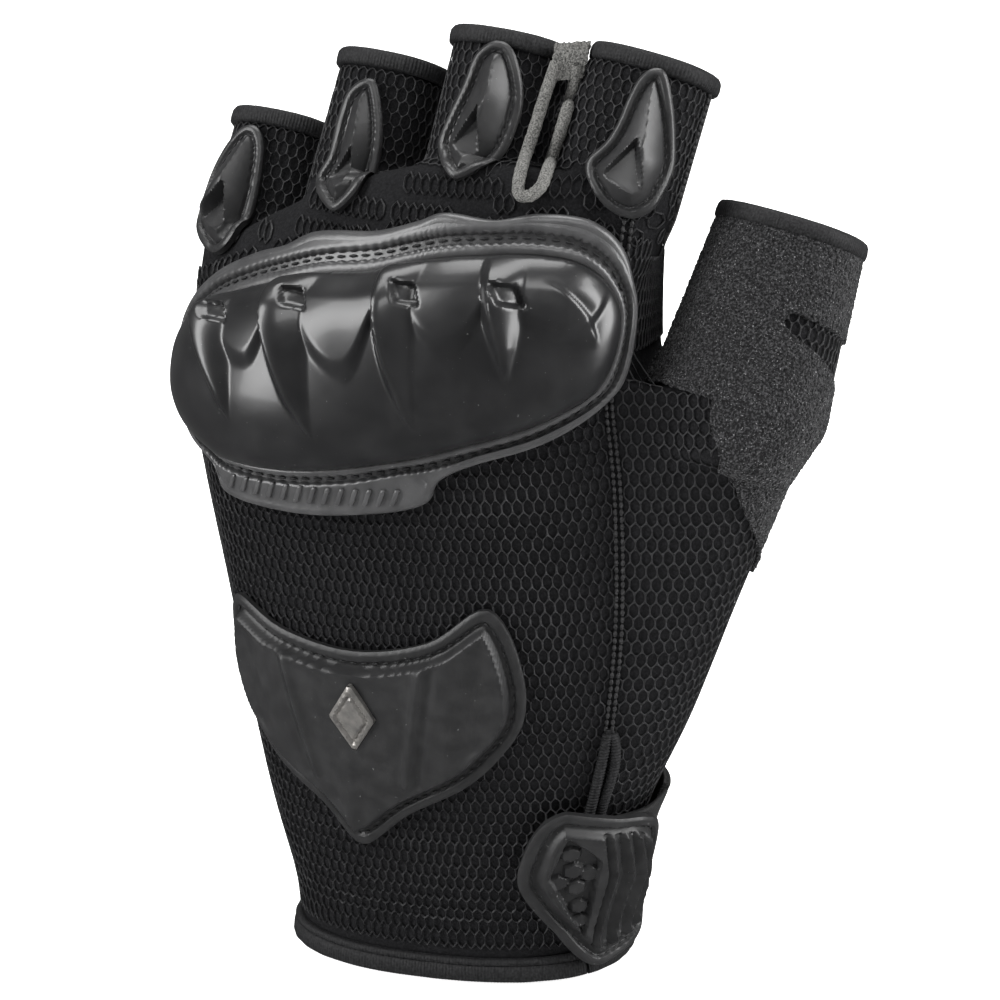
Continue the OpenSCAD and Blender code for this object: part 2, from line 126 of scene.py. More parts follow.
THUMB_SEAM, PALM_SEAM, LITTLE_SEAM = 58, 125, -97   # degrees round the hand from the middle of its back
CROTCH = 117
CLOTH = 0.9


def through(a, b, c, d, t):
    """a smooth curve through four values, between b and c"""
    return 0.5 * (
        2 * b + (c - a) * t + (2 * a - 5 * b + 4 * c - d) * t * t + (3 * b - a - 3 * c + d) * t ** 3
    )


row_store = {}


def row_at(z):
    key = round(z, 3)
    if key not in row_store:
        i = max(k for k in range(len(HAND_ROWS) - 1) if k == 0 or z >= HAND_ROWS[k][0])
        near = [HAND_ROWS[min(max(i + k, 0), len(HAND_ROWS) - 1)] for k in (-1, 0, 1, 2)]
        t = (z - near[1][0]) / (near[2][0] - near[1][0])
        row_store[key] = [through(*column, t) for column in zip(*near)]
    return row_store[key]


def squared(angle, n):
    s, c = math.sin(math.radians(angle)), math.cos(math.radians(angle))
    k = (abs(s) ** n + abs(c) ** n) ** (-1 / n)
    return s * k, c * k


def bulge(angle):
    q = abs(2 * angle - THUMB_SEAM - PALM_SEAM) / (PALM_SEAM - THUMB_SEAM)
    return (1 - q ** 2.8) ** 0.36 if q < 1 else 0


def hand_point(angle, z, gusset):
    r = row_at(z)
    s, c = squared(angle, r[12])
    return Vector((
        r[1] + r[3] * s + (r[13] * bulge(angle) if gusset else 0),
        r[2] - (r[4] if c > 0 else r[5]) * c + r[6] * s * s + r[7] * s,
        r[0] + r[8] * s - r[9] * s * s + (r[10] * r[4] if c > 0 else r[11] * r[5]) * c,
    ))


def over(surface, u, v, lift, du=1.0, dv=0.5):
    """a point at a height over a surface of two directions"""
    p = surface(u, v)
    if lift == 0:
        return p
    n = (surface(u + du, v) - surface(u - du, v)).cross(surface(u, v + dv) - surface(u, v - dv))
    return p + lift * n.normalized()


def plain(angle, z, lift=0):
    return over(lambda a, b: hand_point(a, b, False), angle, z, lift)


def worn(angle, z, lift=0):
    return over(lambda a, b: hand_point(a, b, True), angle, z, lift)


def back(u, z, lift=0):
    """over the back of the hand, u in millimetres from its middle"""
    return plain(u / 0.82 + 0.00009 * u ** 3, z, lift)


def cuff_point(angle, z):
    return hand_point(angle, z, False) + Vector((row_at(z)[13] * min(max((angle - 45) / 30, 0), 1), 0, 0))


def cuffed(angle, z, lift=0):
    """over the wrist, where the strap lies smoothly across the seam"""
    return over(cuff_point, angle, z, lift)


def wrist(w, z, lift=0):
    """over the thumb side of the wrist, w in millimetres"""
    return cuffed(w / 0.48, z, lift)


class Stall:
    """an open tapered tube for a finger or the thumb"""

    def __init__(self, base, lean, splay, width, depth, length, taper):
        self.base, self.width, self.depth, self.length, self.taper = Vector(base), width, depth, length, taper
        self.along = Vector((math.tan(math.radians(splay)), math.tan(math.radians(lean)), 1)).normalized()
        self.across = Vector((self.along.z, 0, -self.along.x)).normalized()
        self.inward = self.along.cross(self.across)

    def at(self, angle, s):
        x, y = squared(angle, 2.4)
        k = 1 + (self.taper - 1) * s / self.length
        return (
            self.base + self.across * self.width * k * x - self.inward * self.depth * k * y + self.along * s
        )

    def __call__(self, angle, s, lift=0):
        return over(self.at, angle, s, lift)

    def reach(self, p):
        return (p - self.base).dot(self.along)


def knuckle(x):
    return x, 4.2 - 5.6 * x / 48 + 8.2 * x * x / 2304, 146.3 + 0.2 * x - 0.0034 * x * x


STALLS = {
    "little": Stall(knuckle(-35.5), 32, 8, 10.4, 9.5, 24, 0.96),
    "ring": Stall(knuckle(-10.5), 30, 8.5, 11, 10.5, 29, 0.96),
    "middle": Stall(knuckle(14.5), 28, 7.5, 11.4, 11, 30, 0.96),
    "index": Stall(knuckle(40), 27, 13, 11.6, 11, 26.5, 0.96),
    "thumb": Stall((63, 2, 112), 27, 13, 16, 15, 35, 0.82),
}
FINGERS = ("little", "ring", "middle", "index")


def gusset_top(angle):
    """where the gusset meets the plane across the thumb's base"""
    thumb, z = STALLS["thumb"], 108
    for _ in range(2):
        z -= thumb.reach(hand_point(angle, z, True)) / thumb.along.z
    return z


def drape(name, across, along, place, wrap=False):
    """a grid of cells laid where place(u, v) says, u and v from 0 to 1, in millimetres"""
    bpy.ops.mesh.primitive_grid_add(x_subdivisions=across, y_subdivisions=along, size=1)
    piece = bpy.context.object
    piece.name = name
    for v in piece.data.vertices:
        v.co = place(v.co.x + 0.5, v.co.y + 0.5) * MM
    if wrap:
        weld(piece)
    return piece


def weld(piece, gap=0.00002):
    bpy.ops.object.select_all(action="DESELECT")
    piece.select_set(True)
    bpy.context.view_layer.objects.active = piece
    bpy.ops.object.mode_set(mode="EDIT")
    bpy.ops.mesh.select_all(action="SELECT")
    bpy.ops.mesh.remove_doubles(threshold=gap)
    bpy.ops.object.mode_set(mode="OBJECT")


def pick_points(piece, chosen):
    """opens a piece for editing with only the chosen points selected"""
    bpy.context.tool_settings.mesh_select_mode = (True, False, False)
    for part in (piece.data.edges, piece.data.polygons):
        for e in part:
            e.select = False
    for v, take in zip(piece.data.vertices, chosen):
        v.select = bool(take)
    bpy.ops.object.select_all(action="DESELECT")
    piece.select_set(True)
    bpy.context.view_layer.objects.active = piece
    bpy.ops.object.mode_set(mode="EDIT")


def drop_points(piece, chosen):
    pick_points(piece, chosen)
    bpy.ops.mesh.delete(type="VERT")
    bpy.ops.object.mode_set(mode="OBJECT")


def change(piece, kind, **settings):
    """adds a modifier and applies it"""
    bpy.ops.object.select_all(action="DESELECT")
    piece.select_set(True)
    bpy.context.view_layer.objects.active = piece
    bpy.ops.object.modifier_add(type=kind)
    modifier = piece.modifiers[-1]
    for key, value in settings.items():
        setattr(modifier, key, value)
    bpy.ops.object.modifier_apply(modifier=modifier.name)


def join(name, pieces):
    bpy.ops.object.select_all(action="DESELECT")
    for p in pieces:
        p.select_set(True)
    bpy.context.view_layer.objects.active = pieces[0]
    if len(pieces) > 1:
        bpy.ops.object.join()
    pieces[0].name = name
    return pieces[0]


def step_through(stations, t):
    """a value between listed stations, t from 0 to 1"""
    x = t * (len(stations) - 1)
    i = min(int(x), len(stations) - 2)
    return [a + (b - a) * (x - i) for a, b in zip(stations[i], stations[i + 1])]


# height and share of the full oval, closed at both ends
palm_stations = [(-4, 0), (-4, 0.6), (-4, 1), (-2, 1)]
palm_stations += [(z, 1) for z in np.linspace(0, HAND_TOP, 60)]
palm_stations += [(HAND_TOP + 3, 0.86), (HAND_TOP + 4.5, 0.6), (HAND_TOP + 5, 0)]


def palm_form(u, v):
    z, share = step_through(palm_stations, v)
    inner = min(max(z, 0), HAND_TOP)
    p = hand_point(360 * u, inner, False)
    r = row_at(inner)
    middle = Vector((r[1], r[2] + r[6] * 0.2, p.z if share > 0.9 else r[0] + (p.z - r[0]) * share))
    return middle + (p - middle) * share + Vector((0, 0, z - inner))


def gusset_form(u, v):
    if u > 0.999:
        u = 0
    if u < 0.7:
        angle, share = THUMB_SEAM - 3 + (PALM_SEAM - THUMB_SEAM + 6) * u / 0.7, 1
    else:
        angle, share = PALM_SEAM + 3 - (PALM_SEAM - THUMB_SEAM + 6) * (u - 0.7) / 0.28, 0.45
    top = gusset_top(min(max(angle, THUMB_SEAM), PALM_SEAM))
    z = -2 + (top + 2) * min(max((v - 0.03) / 0.94, 0), 1)
    p = hand_point(angle, max(z, 0), True) + Vector((0, 0, min(z, 0)))
    r = row_at(max(z, 0))
    p = Vector((r[1], r[2], p.z)) + (p - Vector((r[1], r[2], p.z))) * share
    if v in (0, 1):
        p = (
            Vector((r[1] + r[3] * 0.6, r[2], -2)) if v == 0
            else STALLS["thumb"].base - STALLS["thumb"].along * 2
        )
    return p


def stall_form(stall, root, side=1, loose=0.0):
    """a closed tube for one stall, narrower inside the hand and slack on one side of its length"""
    stations = [(-12, 0), (-12, root), (-5, root + (1 - root) * 0.55), (0, 1)]
    stations += [(s, 1) for s in np.linspace(2, stall.length + 3, 14)] + [(stall.length + 3, 0)]

    def place(u, v):
        s, share = step_through(stations, v)
        middle = stall.base + stall.along * s
        slack = loose * math.sin(math.pi * min(max(s / stall.length, 0), 1)) * max(
            0, math.sin(2 * math.pi * u) * side
        )
        return middle + (stall.at(360 * u, s) - middle) * share + stall.across * side * slack

    return place


forms = [drape("skin", 96, len(palm_stations) - 1, palm_form, wrap=True)]
forms.append(drape("gusset_form", 60, 70, gusset_form, wrap=True))
for finger in STALLS:
    root = 0.72 if finger == "thumb" else 0.85
    side, loose = {"index": (-1, 2.4), "middle": (1, 1.6)}.get(finger, (1, 0))
    forms.append(drape(finger, 48, 18, stall_form(STALLS[finger], root, side, loose), wrap=True))
skin = join("skin", forms)
change(skin, "REMESH", mode="VOXEL", voxel_size=0.9 * MM)
change(skin, "SMOOTH", factor=0.5, iterations=14)


def nearest_stall(p):
    """the stall whose cloth this point lies on, or None on the hand itself"""
    thumb = STALLS["thumb"]
    if p.x > 47.6 + 0.19 * (p.z - 112) and thumb.reach(p) > -3 and p.z > 94:
        return "thumb"
    if p.z < 120:
        return None
    name = min(FINGERS, key=lambda f: abs((p - STALLS[f].base).dot(STALLS[f].across)) / STALLS[f].width)
    return name if STALLS[name].reach(p) > -4 else None


def cut(piece, choose, origin, normal):
    """trims away what lies beyond a plane, among the points chosen by their place"""
    pick_points(piece, [choose(v.co / MM) for v in piece.data.vertices])
    bpy.ops.mesh.bisect(plane_co=origin * MM, plane_no=normal, clear_outer=True)
    bpy.ops.object.mode_set(mode="OBJECT")


for finger, stall in STALLS.items():
    cut(
        skin, lambda c: nearest_stall(c) == finger and stall.reach(c) > stall.length - 6,
        stall.base + stall.along * stall.length, stall.along,
    )
cut(skin, lambda c: c.z < 6, Vector((0, 0, 0.3)), Vector((0, 0, -1)))
skin_tree = BVHTree.FromObject(skin, bpy.context.evaluated_depsgraph_get())


def on_skin(p, lift=0.0):
    """the point of the cloth nearest to p, and the way out of the cloth there"""
    hit, normal, _, _ = skin_tree.find_nearest(p * MM)
    return hit / MM + normal * lift, normal


def round_hand(p):
    """degrees round the hand's middle line"""
    r = row_at(min(max(p.z, 0), HAND_TOP))
    return math.degrees(math.atan2(p.x - r[1], r[2] + r[6] * 0.3 - p.y))


seam_store = {}


def seam_turn(angle, z):
    """round_hand of a seam at this height"""
    key = (angle, round(z, 1))
    if key not in seam_store:
        row = z
        for _ in range(3):
            row += z - hand_point(angle, min(max(row, 0), HAND_TOP), False).z
            row = min(max(row, 0), HAND_TOP)
        seam_store[key] = round_hand(hand_point(angle, row, False))
    return seam_store[key]


def cloth_part(p):
    finger = nearest_stall(p)
    if finger:
        stall = STALLS[finger]
        return finger + ("_back" if (p - stall.base).dot(stall.inward) < 1.5 else "_palm")
    turn_here = round_hand(p)
    if seam_turn(LITTLE_SEAM, p.z) < turn_here < seam_turn(THUMB_SEAM, p.z):
        return "hand_back"
    if 0 < turn_here < seam_turn(PALM_SEAM, p.z) or p.x > 49.5:
        return "index_side" if p.z > CROTCH - 2 and p.x < 50.5 else "gusset"
    return "hand_palm"


def part_off(piece, name, chosen):
    """separates the chosen faces as their own piece"""
    for v in piece.data.vertices:
        v.select = False
    for e in piece.data.edges:
        e.select = False
    for p, take in zip(piece.data.polygons, chosen):
        p.select = take
    bpy.ops.object.select_all(action="DESELECT")
    piece.select_set(True)
    bpy.context.view_layer.objects.active = piece
    bpy.ops.object.mode_set(mode="EDIT")
    bpy.ops.mesh.select_mode(type="FACE")
    bpy.ops.mesh.separate(type="SELECTED")
    bpy.ops.object.mode_set(mode="OBJECT")
    new = [o for o in bpy.context.selected_objects if o is not piece][0]
    new.name = name
    return new


cloth = {}
names = sorted({cloth_part(p.center / MM) for p in skin.data.polygons})
for name in names[:-1]:
    cloth[name] = part_off(
        skin, name + "_cloth", [cloth_part(p.center / MM) == name for p in skin.data.polygons]
    )
cloth[names[-1]] = skin
skin.name = names[-1] + "_cloth"


def new_finish(
    name, colour, roughness, grains=(), mottle=None, flecks=None, coat=0.0, sheen=0.0, metallic=0.0,
    gloss=0.5, coordinates="Object", stretch=(1, 1, 1),
):
    """a finish: a colour mottled towards a second one, small flecks, and bumps from (kind, scale, depth)"""
    made = bpy.data.materials.new(name)
    made.use_nodes = True
    tree = made.node_tree
    face = tree.nodes["Principled BSDF"]
    face.inputs["Roughness"].default_value = roughness
    face.inputs["Specular IOR Level"].default_value = gloss
    face.inputs["Coat Weight"].default_value = coat
    face.inputs["Coat Roughness"].default_value = 0.08
    face.inputs["Sheen Weight"].default_value = sheen
    face.inputs["Sheen Roughness"].default_value = 0.4
    face.inputs["Metallic"].default_value = metallic
    place = tree.nodes.new("ShaderNodeTexCoord")
    mapping = tree.nodes.new("ShaderNodeMapping")
    mapping.inputs["Scale"].default_value = stretch
    tree.links.new(place.outputs[coordinates], mapping.inputs["Vector"])

    def pattern(kind, scale):
        if kind == "cells":
            node = tree.nodes.new("ShaderNodeTexVoronoi")
            out = node.outputs["Distance"]
        elif kind.startswith("ribs"):
            node = tree.nodes.new("ShaderNodeTexWave")
            node.bands_direction = kind[-1].upper()
            node.inputs["Distortion"].default_value = 0.6
            node.inputs["Detail"].default_value = 1
            out = node.outputs["Fac"]
        else:
            node = tree.nodes.new("ShaderNodeTexNoise")
            node.inputs["Detail"].default_value = 3
            out = node.outputs["Fac"]
        node.inputs["Scale"].default_value = scale
        tree.links.new(mapping.outputs["Vector"], node.inputs["Vector"])
        return out

    second, scale, low, high = mottle or (tuple(0.7 * c for c in colour), 900, 0.35, 0.65)
    ramp = tree.nodes.new("ShaderNodeValToRGB")
    ramp.color_ramp.elements[0].position = low
    ramp.color_ramp.elements[1].position = high
    ramp.color_ramp.elements[0].color = (*colour, 1)
    ramp.color_ramp.elements[1].color = (*second, 1)
    tree.links.new(pattern("noise", scale), ramp.inputs["Fac"])
    shade = ramp.outputs["Color"]
    if flecks:
        fleck, scale, share = flecks
        speck = tree.nodes.new("ShaderNodeValToRGB")
        speck.color_ramp.elements[0].position = share
        speck.color_ramp.elements[0].color = (0, 0, 0, 1)
        speck.color_ramp.elements[1].position = share + 0.03
        tree.links.new(pattern("noise", scale), speck.inputs["Fac"])
        mix = tree.nodes.new("ShaderNodeMix")
        mix.data_type = "RGBA"
        mix.inputs["B"].default_value = (*fleck, 1)
        tree.links.new(speck.outputs["Color"], mix.inputs["Factor"])
        tree.links.new(shade, mix.inputs["A"])
        shade = mix.outputs["Result"]
    tree.links.new(shade, face.inputs["Base Color"])
    last = None
    for kind, scale, depth in grains:
        bump = tree.nodes.new("ShaderNodeBump")
        bump.inputs["Strength"].default_value = 1
        bump.inputs["Distance"].default_value = depth * MM
        tree.links.new(pattern(kind, scale), bump.inputs["Height"])
        if last:
            tree.links.new(last, bump.inputs["Normal"])
        last = bump.outputs["Normal"]
    if last:
        tree.links.new(last, face.inputs["Normal"])
    return made


def soften(piece, angle=40):
    bpy.ops.object.select_all(action="DESELECT")
    piece.select_set(True)
    bpy.context.view_layer.objects.active = piece
    bpy.ops.object.shade_smooth_by_angle(angle=math.radians(angle))


def finish_piece(piece, look, slot, bodies, *nodes):
    """gives a piece its finish and its body, only bakes its place where its cloth spans two, and hides the
    solids it stands for
    """
    piece.data.materials.clear()
    piece.data.materials.append(look)
    if isinstance(bodies, str):
        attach(piece, bodies)
    else:
        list(bodies)
        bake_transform(piece)
    if nodes:
        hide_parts(*nodes)


backing = new_finish(
    "black_backing", (0.006, 0.006, 0.0065), 0.85, [("noise", 1500, 0.12), ("cells", 2500, 0.08)],
    mottle=((0.012, 0.012, 0.013), 2200, 0.4, 0.7), gloss=0.08,
)
suede = new_finish(
    "black_suede", (0.018, 0.017, 0.017), 0.9, [("noise", 3500, 0.1), ("noise", 500, 0.12)],
    mottle=((0.03, 0.029, 0.029), 260, 0.35, 0.7), sheen=0.06, gloss=0.12,
)
stands_for = {
    "hand_back": ["back_panel", "finger_webs"], "hand_palm": ["palm_panel"],
    "gusset": ["thumb_gusset", "thumb_web"],
    "index_side": ["index_side_panel"],
}
for name, piece in cloth.items():
    netted = name.endswith("_back") or name in ("gusset", "index_side")
    if netted:
        change(piece, "DISPLACE", strength=-0.45 * MM, mid_level=0)
    change(piece, "SOLIDIFY", thickness=CLOTH * MM, offset=-1)
    soften(piece, 50)
    finger = name.split("_")[0]
    finish_piece(
        piece, backing if netted else suede, "knit" if netted else "suede",
        ("hand", finger) if finger in STALLS else "hand", *stands_for.get(name, [name]),
    )

# ---- Air mesh ----
# The backs of the hand, of the gusset and of the stalls are an open knitted mesh over the black backing:
# rows of long six-sided holes between strands of twisted yarn, set half a hole over in every other row.


def net(name, width, height, x_range, y_range, place, strand=0.44, rounded=True):
    """hexagonal meshwork over a flat area, laid by place(x, y), which gives None where there is no cloth"""
    bpy.ops.mesh.primitive_circle_add(vertices=6, fill_type="NGON", radius=1)
    hole = bpy.context.object
    hole.name = name
    for v in hole.data.vertices:
        side = abs(v.co.x) > 0.1
        v.co = (
            math.copysign(width / 2, v.co.x) if side else 0,
            math.copysign(height * (0.31 if side else 0.69), v.co.y), 0,
        )
    bpy.ops.object.mode_set(mode="EDIT")
    bpy.ops.mesh.select_all(action="SELECT")
    bpy.ops.mesh.subdivide(number_cuts=1)
    bpy.ops.mesh.duplicate_move(TRANSFORM_OT_translate={"value": (width / 2, height, 0)})
    bpy.ops.object.mode_set(mode="OBJECT")
    columns = int((x_range[1] - x_range[0]) / width) + 2
    rows = int((y_range[1] - y_range[0]) / (2 * height)) + 2
    for count, step in ((columns, (width, 0, 0)), (rows, (0, 2 * height, 0))):
        change(
            hole, "ARRAY", count=count, use_relative_offset=False, use_constant_offset=True,
            constant_offset_displace=step,
        )
    weld(hole, 0.01)
    seats = [place(x_range[0] + v.co.x, y_range[0] + v.co.y) for v in hole.data.vertices]
    for v, seat in zip(hole.data.vertices, seats):
        v.co = v.co * MM if seat is None else seat * MM
    drop_points(hole, [seat is None for seat in seats])
    change(hole, "WIREFRAME", thickness=strand * MM, use_even_offset=False, use_boundary=True)
    if rounded:
        change(hole, "SUBSURF", levels=1, render_levels=1)
    soften(hole, 80)
    return hole


def round_from(length, z):
    """degrees round the plain hand for a length over its back, both corners allowed for"""
    r = row_at(z)
    start = r[3] * math.pi / 180
    quarter = math.pi / 2 * math.sqrt((r[3] ** 2 + r[4] ** 2) / 2) * 0.98
    curl = (90 - quarter / start) / quarter ** 3
    return length / start + curl * length ** 3


def inside(p, edge):
    """whether a flat point is inside an outline"""
    odd = False
    for (ax, ay), (bx, by) in zip(edge, edge[1:] + edge[:1]):
        if (ay > p[1]) != (by > p[1]) and p[0] < ax + (p[1] - ay) * (bx - ax) / (by - ay):
            odd = not odd
    return odd


under_guard = [
    (-38, 117), (-34, 129), (-18, 134),
    (10, 135), (32, 134), (38, 126), (33, 116), (10, 108), (-26, 104),
]
under_plate = [(-13, 34), (-34, 50), (-37, 66), (-34, 70), (-10, 63), (10, 68), (18, 70), (19, 58), (8, 46)]


def back_net_seat(x, y):
    if y < 5.5 or y > 141.6:
        return None
    angle = round_from(x, min(y, HAND_TOP))
    if not LITTLE_SEAM + 1.5 < angle < THUMB_SEAM - 1.5:
        return None
    u = angle * 0.82 - 0.00004 * angle ** 3
    if inside((u, y), under_guard) or inside((u, y), under_plate):
        return None
    p, normal = on_skin(plain(angle, y))
    if nearest_stall(p):
        return None
    return p - 0.12 * normal


back_angles = range(-88, 58, 2)
back_across = [hand_point(a, 135, False).x for a in back_angles]
back_lengths = [a * 0.82 - 0.00004 * a ** 3 for a in back_angles]


def base_net_seat(x, z, finger):
    """on the cloth between the guard and the stalls, seen square on; finger is the stall whose cloth it lies
    on, or None for the hand's own
    """
    p, normal = skin_tree.ray_cast(Vector((x, -60, z)) * MM, Vector((0, 1, 0)))[:2]
    if p is None or z < 141.4 and not finger or normal.y > -0.25:
        return None
    p /= MM
    if inside((float(np.interp(p.x, back_across, back_lengths)), z), under_guard):
        return None
    if p.y > 22 or nearest_stall(p) != finger or finger and STALLS[finger].reach(p) > 2.8:
        return None
    return p - 0.12 * normal


gusset_angles = [
    THUMB_SEAM + (PALM_SEAM - THUMB_SEAM) * (t * t * (3 - 2 * t)) ** 1.5
    for t in np.linspace(0.02, 0.97, 60)
]
gusset_reach = {}


def gusset_turn(length, z):
    """degrees round the hand for a length over the gusset from its front seam"""
    key = round(z)
    if key not in gusset_reach:
        line = [hand_point(a, max(z, 1), True) for a in gusset_angles]
        gusset_reach[key] = np.cumsum([0] + [(q - p).length for p, q in zip(line, line[1:])])
    walked = gusset_reach[key]
    return float(np.interp(length, walked, gusset_angles)) if length <= walked[-1] else 999


def side_net_seat(x, y):
    angle = gusset_turn(x, y) if y < CROTCH + 4 else THUMB_SEAM + 1.6 + x / 0.8
    if y < 9 or x < 0 or angle > PALM_SEAM:
        return None
    if y < CROTCH + 4:
        if y > gusset_top(angle) + 4:
            return None
        p, normal = on_skin(worn(angle, y))
    else:
        p, normal = on_skin(plain(angle, y))
    if y > 144 or p.x > 49.5 and y > CROTCH + 4 or nearest_stall(p) and not (
        nearest_stall(p) == "thumb" and STALLS["thumb"].reach(p) < 0.5
    ):
        return None
    return p - 0.12 * normal


def stall_net_seat(finger, x, y):
    stall = STALLS[finger]
    angle = x * RADIAN / stall.width
    if y > stall.length - 1.5 or not -88 < angle < 88:
        return None
    start = stall(angle, y)
    p, normal = on_skin(start)
    if (p - start).length > 8 or STALLS[finger].reach(p) < 2.2 and (finger == "thumb" or abs(angle) < 70):
        return None
    return p - 0.12 * normal


yarn = new_finish(
    "mesh_yarn", (0.012, 0.012, 0.0125), 0.5, [("noise", 5200, 0.09), ("noise", 1300, 0.05)],
    mottle=((0.03, 0.03, 0.032), 2600, 0.4, 0.72), gloss=0.25, sheen=0.01,
)
# a cell of the mesh on the hand's back, across and up
BACK_CELL = (1.75, 2.4)
nets = {
    "hand_back_net": (
        net("hand_back_net", *BACK_CELL, (-74, 56), (2, 142), back_net_seat, rounded=False), "hand",
    ),
    "knuckle_net": (
        net(
            "knuckle_net", *BACK_CELL, (-48, 50), (138, 158), lambda x, y: base_net_seat(x, y, None),
            rounded=False,
        ), "hand",
    ),
    "gusset_net": (net("gusset_net", 2.05, 2.45, (-2, 75), (8, 146), side_net_seat), "hand"),
}
for finger in FINGERS:
    stall = STALLS[finger]
    nets[finger + "_net"] = (
        net(
            finger + "_net", 1.95, 2.35, (-19, 19), (-4, stall.length),
            lambda x, y: stall_net_seat(finger, x, y), 0.42,
        ), ("hand", finger),
    )
    left = -48 + BACK_CELL[0] * int((stall.base.x + 48) / BACK_CELL[0] - 9)
    nets[finger + "_base_net"] = (
        net(
            finger + "_base_net", *BACK_CELL, (left, left + 32), (123.6, 164),
            lambda x, y: base_net_seat(x, y, finger),
            rounded=False,
        ), ("hand", finger),
    )


def notch_net_seat(x, y):
    angle = 20 + x * RADIAN / 15
    t = (angle - 25) / 90
    if abs(y - 17 + 5 * t) > 4 + 3 * t or not 18 < angle < 128:
        return None
    p, normal = on_skin(STALLS["thumb"](angle, y))
    return p - 0.12 * normal


nets["thumb_net"] = (net("thumb_net", 1.9, 2.35, (-1, 29), (4, 23), notch_net_seat), ("hand", "thumb"))
for piece, bodies in nets.values():
    finish_piece(piece, yarn, "knit", bodies)

# ---- Seams ----
# The panels are joined by twin rows of stitches lying on the cloth: one seam down each side of the
# hand's back, one between the gusset and the palm, and one down each side of every finger's stall.


def set_out(name, shape, seats):
    """one small shape copied to every seat, each a middle and three directions, as one piece"""
    points = [v.co.copy() for v in shape.data.vertices]
    faces = [tuple(f.vertices) for f in shape.data.polygons]
    corners, rows = [], []
    for middle, x, y, z in seats:
        rows += [tuple(i + len(corners) for i in f) for f in faces]
        corners += [(middle + x * p.x + y * p.y + z * p.z) * MM for p in points]
    made = bpy.data.meshes.new(name)
    made.from_pydata(corners, [], rows)
    piece = bpy.data.objects.new(name, made)
    bpy.context.collection.objects.link(piece)
    bpy.data.objects.remove(shape)
    soften(piece, 60)
    return piece


def thread_end(segments=6, rings=5):
    bpy.ops.mesh.primitive_uv_sphere_add(segments=segments, ring_count=rings, radius=1)
    return bpy.context.object


def stitches(name, path, length, gap, thick, outward, closed=False):
    """a row of thread stitches on a path of points, outward(p) the way up from the cloth"""
    points = path + path[:1] if closed else path
    walked = [0.0]
    for a, b in zip(points, points[1:]):
        walked.append(walked[-1] + (b - a).length)
    count = max(1, round(walked[-1] / (length + gap)))
    pitch = walked[-1] / count

    def along(s):
        i = min(np.searchsorted(walked, s, side="right") - 1, len(points) - 2)
        t = (s - walked[i]) / max(walked[i + 1] - walked[i], 1e-6)
        return points[i].lerp(points[i + 1], min(t, 1))

    seats = []
    for k in range(count):
        a, b = along(k * pitch), along(k * pitch + pitch * length / (length + gap))
        middle, run = (a + b) / 2, (b - a) / 2
        z = outward(middle).normalized()
        y = z.cross(run).normalized()
        seats.append((middle, run, y * thick / 2, run.cross(y).normalized() * thick / 2))
    return set_out(name, thread_end(), seats)


def skin_out(p):
    return on_skin(p)[1]


black_thread = new_finish(
    "black_thread", (0.012, 0.012, 0.0125), 0.55, [("noise", 6000, 0.06)],
    mottle=((0.035, 0.035, 0.036), 3000, 0.4, 0.7),
    gloss=0.2,
)
seam_rows = []
for angle, low, high in ((THUMB_SEAM - 1.3, 48, 143), (THUMB_SEAM + 1.3, 48, 143), (LITTLE_SEAM - 1, 7, 141),
                         (LITTLE_SEAM + 1, 7, 141)):
    path = [on_skin(plain(angle, z), 0.05)[0] for z in np.linspace(low, high, 70)]
    seam_rows.append(stitches("seam_row", path, 1.5, -0.1, 0.85, skin_out))
for shift in (-1, 1):
    path = [
        on_skin(worn(PALM_SEAM + shift, z), 0.05)[0]
        for z in np.linspace(7, gusset_top(PALM_SEAM) - 1, 60)
    ]
    seam_rows.append(stitches("seam_row", path, 1.5, -0.1, 0.8, skin_out))
finish_piece(join("hand_seams", seam_rows), black_thread, "thread", "hand")
for finger in FINGERS:
    stall = STALLS[finger]
    rows = []
    for angle in (-92, -87, 86, 91):
        path = [on_skin(stall(angle, s), 0.05)[0] for s in np.linspace(2.5, stall.length - 2.5, 24)]
        rows.append(stitches("seam_row", path, 1.4, -0.1, 0.75, skin_out))
    finish_piece(join(finger + "_seams", rows), black_thread, "thread", ("hand", finger))

# ---- Knuckle guard ----
# A hard gloss shell moulded over four knuckles, each with a talon-like ridge and a small vent, set in a
# rubber frame that is sewn down through a groove round the shell, over a pad of foam.
GUARD_RISE = 9


def outline(points, steps):
    count = len(points)
    return [
        tuple(through(*(points[(i + k) % count][axis] for k in (-1, 0, 1, 2)), t / steps) for axis in (0, 1))
        for i in range(count) for t in range(steps)
    ]


guard_outer = [
    (-48, 119), (-46, 126), (-40, 133), (-32, 137), (-24, 138.5), (-18, 138.8), (-12, 140), (0, 139.2),
    (8, 140), (13, 141), (21, 140), (27, 141), (34, 140.5), (40, 137), (43.5, 131), (44, 125),
    (42.5, 119), (38, 114.5), (29, 109.5), (19, 106.5), (12, 103.5), (8, 99), (-6, 96.5), (-19, 95.8),
    (-32, 97.2), (-34, 102), (-41, 107), (-46, 112),
]
guard_inner = [
    (-43.5, 119), (-41.5, 125), (-36.5, 130), (-30, 132.5), (-23, 133.5), (-17, 134), (-10, 134.5),
    (0, 134.3),
    (8, 135), (13, 135.5), (20, 135.8), (26, 136), (32, 135.5), (36.5, 133.5), (39.5, 129.5), (40, 125),
    (38.5, 120), (34.5, 116.3), (27, 112.8), (17, 110), (9, 108), (2, 106.8), (-8, 105.3), (-19, 104.5),
    (-29, 105), (-34, 107), (-39.5, 110.5), (-42.5, 114.5),
]
for ring in (guard_outer, guard_inner):
    ring[:] = [(x + 2.2 * min(max((x - 20) / 20, 0), 1), z) for x, z in ring]
shell_edge = outline(guard_inner, 8)
GUARD_MIDDLE = (-1, 120)
